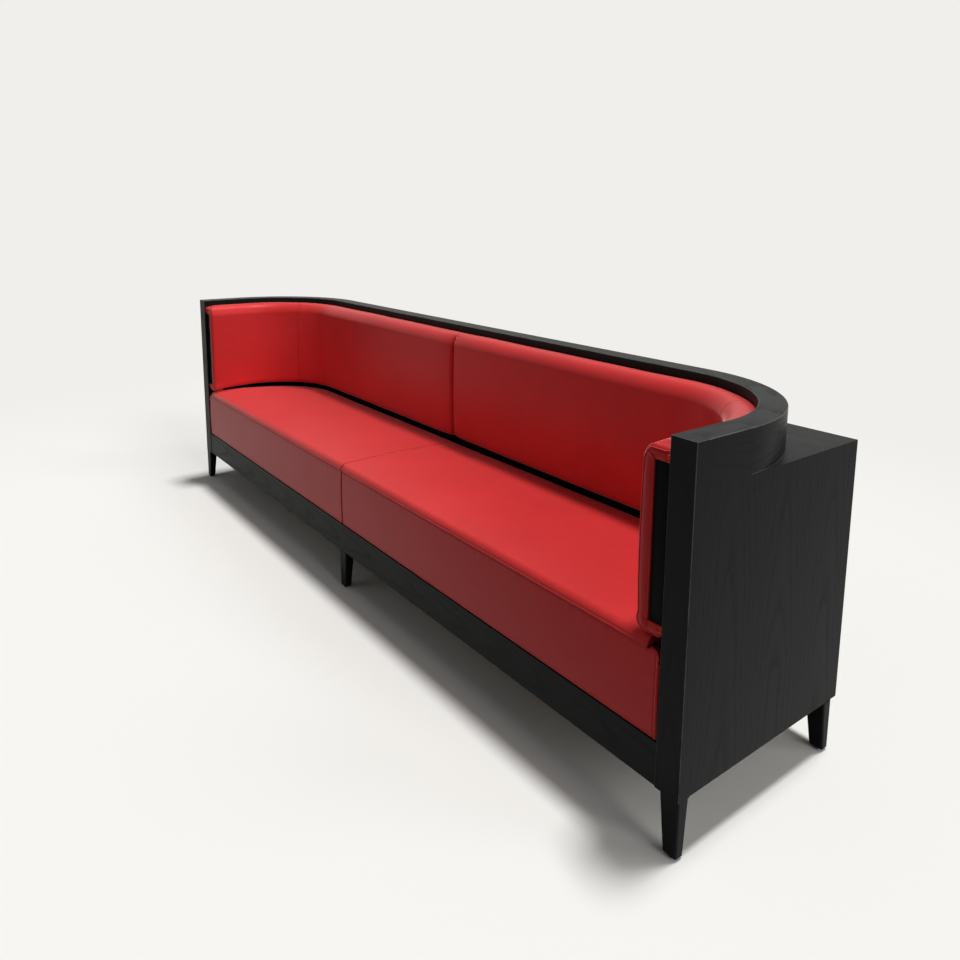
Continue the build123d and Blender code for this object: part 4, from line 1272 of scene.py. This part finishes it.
def facing_loops(x):
    """Closed sections as (y, z): rear, bottom edge, belly, top edge."""
    quarter = np.radians(np.linspace(0, 90, 8))
    low = FACING_BOTTOM + FACING_EDGE
    high = FACING_TOP - FACING_EDGE
    height = np.concatenate([np.linspace(low, low + 0.01, 8), np.linspace(low + 0.01, high - 0.012, 40)[1:-1],
                             np.linspace(high - 0.012, high, 16)])[1:-1]
    down = np.linspace(FACING_TOP, FACING_BOTTOM, 12)
    low_y = FACING_FRONT_Y + facing_belly(low)
    top_edge = FACING_FRONT_Y + facing_belly(high) + FACING_EDGE
    loop = np.concatenate([
        np.stack([np.full(12, FACING_REAR_Y), down], axis=1),
        np.stack([low_y + FACING_EDGE * (1 - np.sin(quarter)), low - FACING_EDGE * np.cos(quarter)], axis=1),
        np.stack([FACING_FRONT_Y + facing_belly(height), height], axis=1),
        np.stack([top_edge - FACING_EDGE * np.cos(quarter), high + FACING_EDGE * np.sin(quarter)], axis=1),
        np.stack([np.linspace(top_edge, FACING_REAR_Y, 14)[1:-1], np.full(12, FACING_TOP)], axis=1),
    ])
    return np.repeat(loop[None], len(x), axis=0)


def build_facing(name, side):
    """Facing panel along X, with faint gathers under its top seam and a closing seam near its end."""
    places = row_places(SPLIT_X, FACING_END_X, steps_in(SEAT_SPLIT_ROLL, FINE_STEP, 0.008),
                        steps_in(FACING_END_ROLL, 0.0009, 0.016), SEAT_STEP)
    inset = rolled_in(places - SPLIT_X, SEAT_SPLIT_ROLL) + rolled_in(FACING_END_X - places, FACING_END_ROLL)
    loops = facing_loops(places)
    from_end = (FACING_END_X - places)[:, None]
    beyond = smooth_step((loops[..., 0] - FACING_FRONT_Y - EAR_DEPTH * from_end / EAR_LENGTH) / 0.003)
    folded = beyond * smooth_step((EAR_LENGTH + 0.004 - from_end) / 0.004)
    folded = folded * smooth_step((loops[..., 1] - FACING_TOP + 0.02) / 0.01)
    loops[..., 1] -= EAR_DROP * folded
    front = loops[..., 0] < FACING_FRONT_Y + FACING_BELLY + 0.0015
    below = FACING_TOP - loops[..., 1]
    ripple = wave(places, 0.038) + 0.5 * wave(places, 0.023, 2)
    closing = bell(from_end - CLOSING_SEAM_INSET, CLOSING_SEAM_WIDTH)
    end_roll = bell(from_end - 0.5 * CLOSING_SEAM_INSET, END_ROLL_WIDTH)
    pulled = fading(from_end, 0.03) * wave(loops[..., 1], 0.045)
    move = FACING_RIPPLE * ripple[:, None] * bell(below - 0.014, 0.016) - CLOSING_SEAM_DEPTH * closing
    move = move + END_ROLL_HEIGHT * end_roll
    move = np.where(front, move + FACING_RIPPLE * pulled, 0) - inset[:, None]
    # The seam mask darkens the top seam line and paints shade into its stitch groove, the closing seam and
    # the split end.
    seam = fading(places - SPLIT_X, END_SHADE)[:, None] + 0.7 * closing * front
    seam = seam + ridges(below, ((1, 0, 0.0015), (STITCH_SHADE, FACING_LINE, 0.001))) * front
    return moved_mesh(name, side, places, loops, move, seam)


for side, hand in HALVES:
    facing = build_facing(f"{hand}_facing_cover", side)
    dress(facing, f"{hand}_seat_facing")

# %% [markdown]
# Stitches are small capsules of about twenty faces each. One capsule's points are
# turned to lie along the seam and copied to every place as one array: two level rows,
# above and below the seat's seam, and an upright row in the closing seam.

# %% Stitches
STITCH_LENGTH = 0.0031
STITCH_RADIUS = 0.00036
STITCH_PITCH = 0.0045
CAPSULE_RINGS = 5
CAPSULE_SIDES = 5


def capsule(along):
    """Points and faces of a slim capsule along an axis: rings whose radius falls off at both ends."""
    share = np.linspace(-1, 1, CAPSULE_RINGS)
    ring = STITCH_RADIUS * np.sqrt(np.clip(1 - np.abs(share) ** 4, 0.05, 1))
    angle = np.linspace(0, 2 * math.pi, CAPSULE_SIDES, endpoint=False)
    points = np.stack([
        ring[:, None] * np.cos(angle),
        ring[:, None] * np.sin(angle),
        share[:, None] * STITCH_LENGTH / 2 + 0 * angle,
    ], axis=2).reshape(-1, 3)
    points = np.roll(points, along - 2, axis=1)
    return points, grid_faces(CAPSULE_RINGS, CAPSULE_SIDES), end_caps(CAPSULE_RINGS, CAPSULE_SIDES)


def stitch_rows(side):
    """Middles of the stitches: (places along X, places in Z), one array each."""
    x = np.arange(SPLIT_X + 0.006, SEAT_END_X - 0.004, STITCH_PITCH)
    wander = 0.00012 * np.sin(x * 911.0)
    lip_y = SEAT_FRONT_Y + lip_profile(STITCH_LINE) - 0.0001
    upper = np.stack([side * x, np.full_like(x, lip_y), STEP_Z + STITCH_LINE + wander], axis=1)
    x = np.arange(SPLIT_X + 0.006, FACING_END_X - 0.012, STITCH_PITCH)
    line_z = FACING_TOP - FACING_LINE
    lower_y = FACING_FRONT_Y + facing_belly(line_z) - 0.0001
    lower = np.stack([side * x, np.full_like(x, lower_y), np.full_like(x, line_z)], axis=1)
    z = np.arange(FACING_BOTTOM + 0.010, FACING_TOP - 0.010, STITCH_PITCH)
    upright_y = FACING_FRONT_Y + facing_belly(z) + 0.0009
    upright = np.stack([np.full_like(z, side * (FACING_END_X - CLOSING_SEAM_INSET)), upright_y, z], axis=1)
    return np.concatenate([upper, lower]), upright


def build_stitches(name, middles, along):
    """Capsules along one axis, one at each middle."""
    points, quads, caps = capsule(along)
    shift = (np.arange(len(middles)) * len(points))[:, None, None]
    faces = (quads[None] + shift).reshape(-1, 4)
    ends = [[index + offset for index in cap] for offset in shift.ravel().tolist() for cap in caps]
    return mesh_object(name, points[None] + middles[:, None], faces, None, ends)


for side, hand in HALVES:
    level, upright = stitch_rows(side)
    for kind, middles, along in (("seam", level, 0), ("facing", upright, 2)):
        stitches = build_stitches(f"{hand}_{kind}_stitches", middles, along)
        stitches.data.materials.append(thread)
        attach(stitches, BODY)

# %% [markdown]
# The stage is a pale floor. Near the bench it is a real matt surface that takes the
# shadow; further out it turns into the background's own colour, so that no horizon
# shows. Glossy rays see that same pale colour. The light that the floor throws back
# up at the bench is weaker, like that of the darker floor of a restaurant.

# %% Floor and background
BACKGROUND = (0.871, 0.863, 0.831)
FLOOR_GLOW = (0.16, 0.155, 0.15)
FLOOR_HALF = 30.0
FLOOR_NEAR = 0.9
FLOOR_FAR = 2.2


def background_share(tree):
    """1 for rays from the camera, off gloss or through glass, which see the plain background."""
    rays = add_node(tree, "ShaderNodeLightPath")
    seen = Value(rays.outputs["Is Camera Ray"]).maths("MAXIMUM", Value(rays.outputs["Is Glossy Ray"]))
    return seen.maths("MAXIMUM", Value(rays.outputs["Is Transmission Ray"]))


def make_floor_material():
    """Matt floor near the bench, plain background colour further away, by distance."""
    material, tree = empty_material("pale_floor")
    place = vector_maths("MULTIPLY", object_place(tree), (0.5, 0.62, 1.0))
    distance = node_value(tree, "ShaderNodeVectorMath", {0: place}, "Value", operation="LENGTH")
    far = node_value(tree, "ShaderNodeMapRange", {0: distance, 1: FLOOR_NEAR, 2: FLOOR_FAR},
                     interpolation_type="SMOOTHSTEP")
    shown = background_share(tree)
    matt = node_value(tree, "ShaderNodeBsdfDiffuse", {"Color": mixed(tree, shown, FLOOR_GLOW, BACKGROUND)})
    plain = node_value(tree, "ShaderNodeEmission", {"Color": (*BACKGROUND, 1.0), "Strength": 1.0})
    surface = node_value(tree, "ShaderNodeMixShader", {0: far * shown, 1: matt, 2: plain})
    add_node(tree, "ShaderNodeOutputMaterial", {"Surface": surface})
    return material


floor_mesh = bpy.data.meshes.new("floor")
corners = [(-FLOOR_HALF, -FLOOR_HALF, 0), (FLOOR_HALF, -FLOOR_HALF, 0),
           (FLOOR_HALF, FLOOR_HALF, 0), (-FLOOR_HALF, FLOOR_HALF, 0)]
floor_mesh.from_pydata(corners, [], [(0, 1, 2, 3)])
floor_mesh.materials.append(make_floor_material())
floor = linked_object("floor", floor_mesh)
print("floor laid")

# %% [markdown]
# The light is a soft studio light at a plain level. As in the photograph, a wide
# key comes from above and a little behind, so that seat and top rolls are bright and
# the back's face is deep. A lower one from behind glances off them, a low fill comes
# from the right-hand end, a weak one from the front, and an even sky does the rest.
# On a level surface they add up to about one, so a colour renders about as it is
# written. Each lamp is a name, a strength, then azimuth, elevation and softness in
# degrees.

# %% Light
SKY_STRENGTH = 0.11
LAMPS = [
    ("key_light", 2.40, 78, 80, 9),
    ("back_light", 0.30, 40, 40, 20),
    ("right_fill", 1.00, 6, 25, 26),
    ("front_fill", 0.10, -110, 30, 40),
]


def add_sun(name, strength, azimuth, elevation, softness):
    """Parallel light that comes from an azimuth (0 is +X, 90 is +Y) and an elevation."""
    data = bpy.data.lights.new(name, "SUN")
    data.energy = strength
    data.angle = math.radians(softness)
    turn = math.radians(azimuth)
    lift = math.radians(elevation)
    source = Vector((math.cos(lift) * math.cos(turn), math.cos(lift) * math.sin(turn), math.sin(lift)))
    linked_object(name, data).rotation_euler = source.to_track_quat("Z", "Y").to_euler()


def make_world():
    """Even sky that lights the bench, and the plain background for what is seen in it."""
    world = bpy.data.worlds.new("studio")
    world.use_nodes = True
    tree = world.node_tree
    tree.nodes.clear()
    light = node_value(tree, "ShaderNodeBackground", {"Color": (1, 1, 1, 1), "Strength": SKY_STRENGTH})
    shown = node_value(tree, "ShaderNodeBackground", {"Color": (*BACKGROUND, 1.0), "Strength": 1.0})
    sky = node_value(tree, "ShaderNodeMixShader", {0: background_share(tree), 1: light, 2: shown})
    add_node(tree, "ShaderNodeOutputWorld", {"Surface": sky})
    bpy.context.scene.world = world


make_world()
for lamp_values in LAMPS:
    add_sun(*lamp_values)
bpy.context.scene.view_settings.view_transform = "Standard"
level = SKY_STRENGTH + sum(lamp[1] * math.sin(math.radians(lamp[3])) for lamp in LAMPS) / math.pi
print("light on a level surface:", round(level, 3))
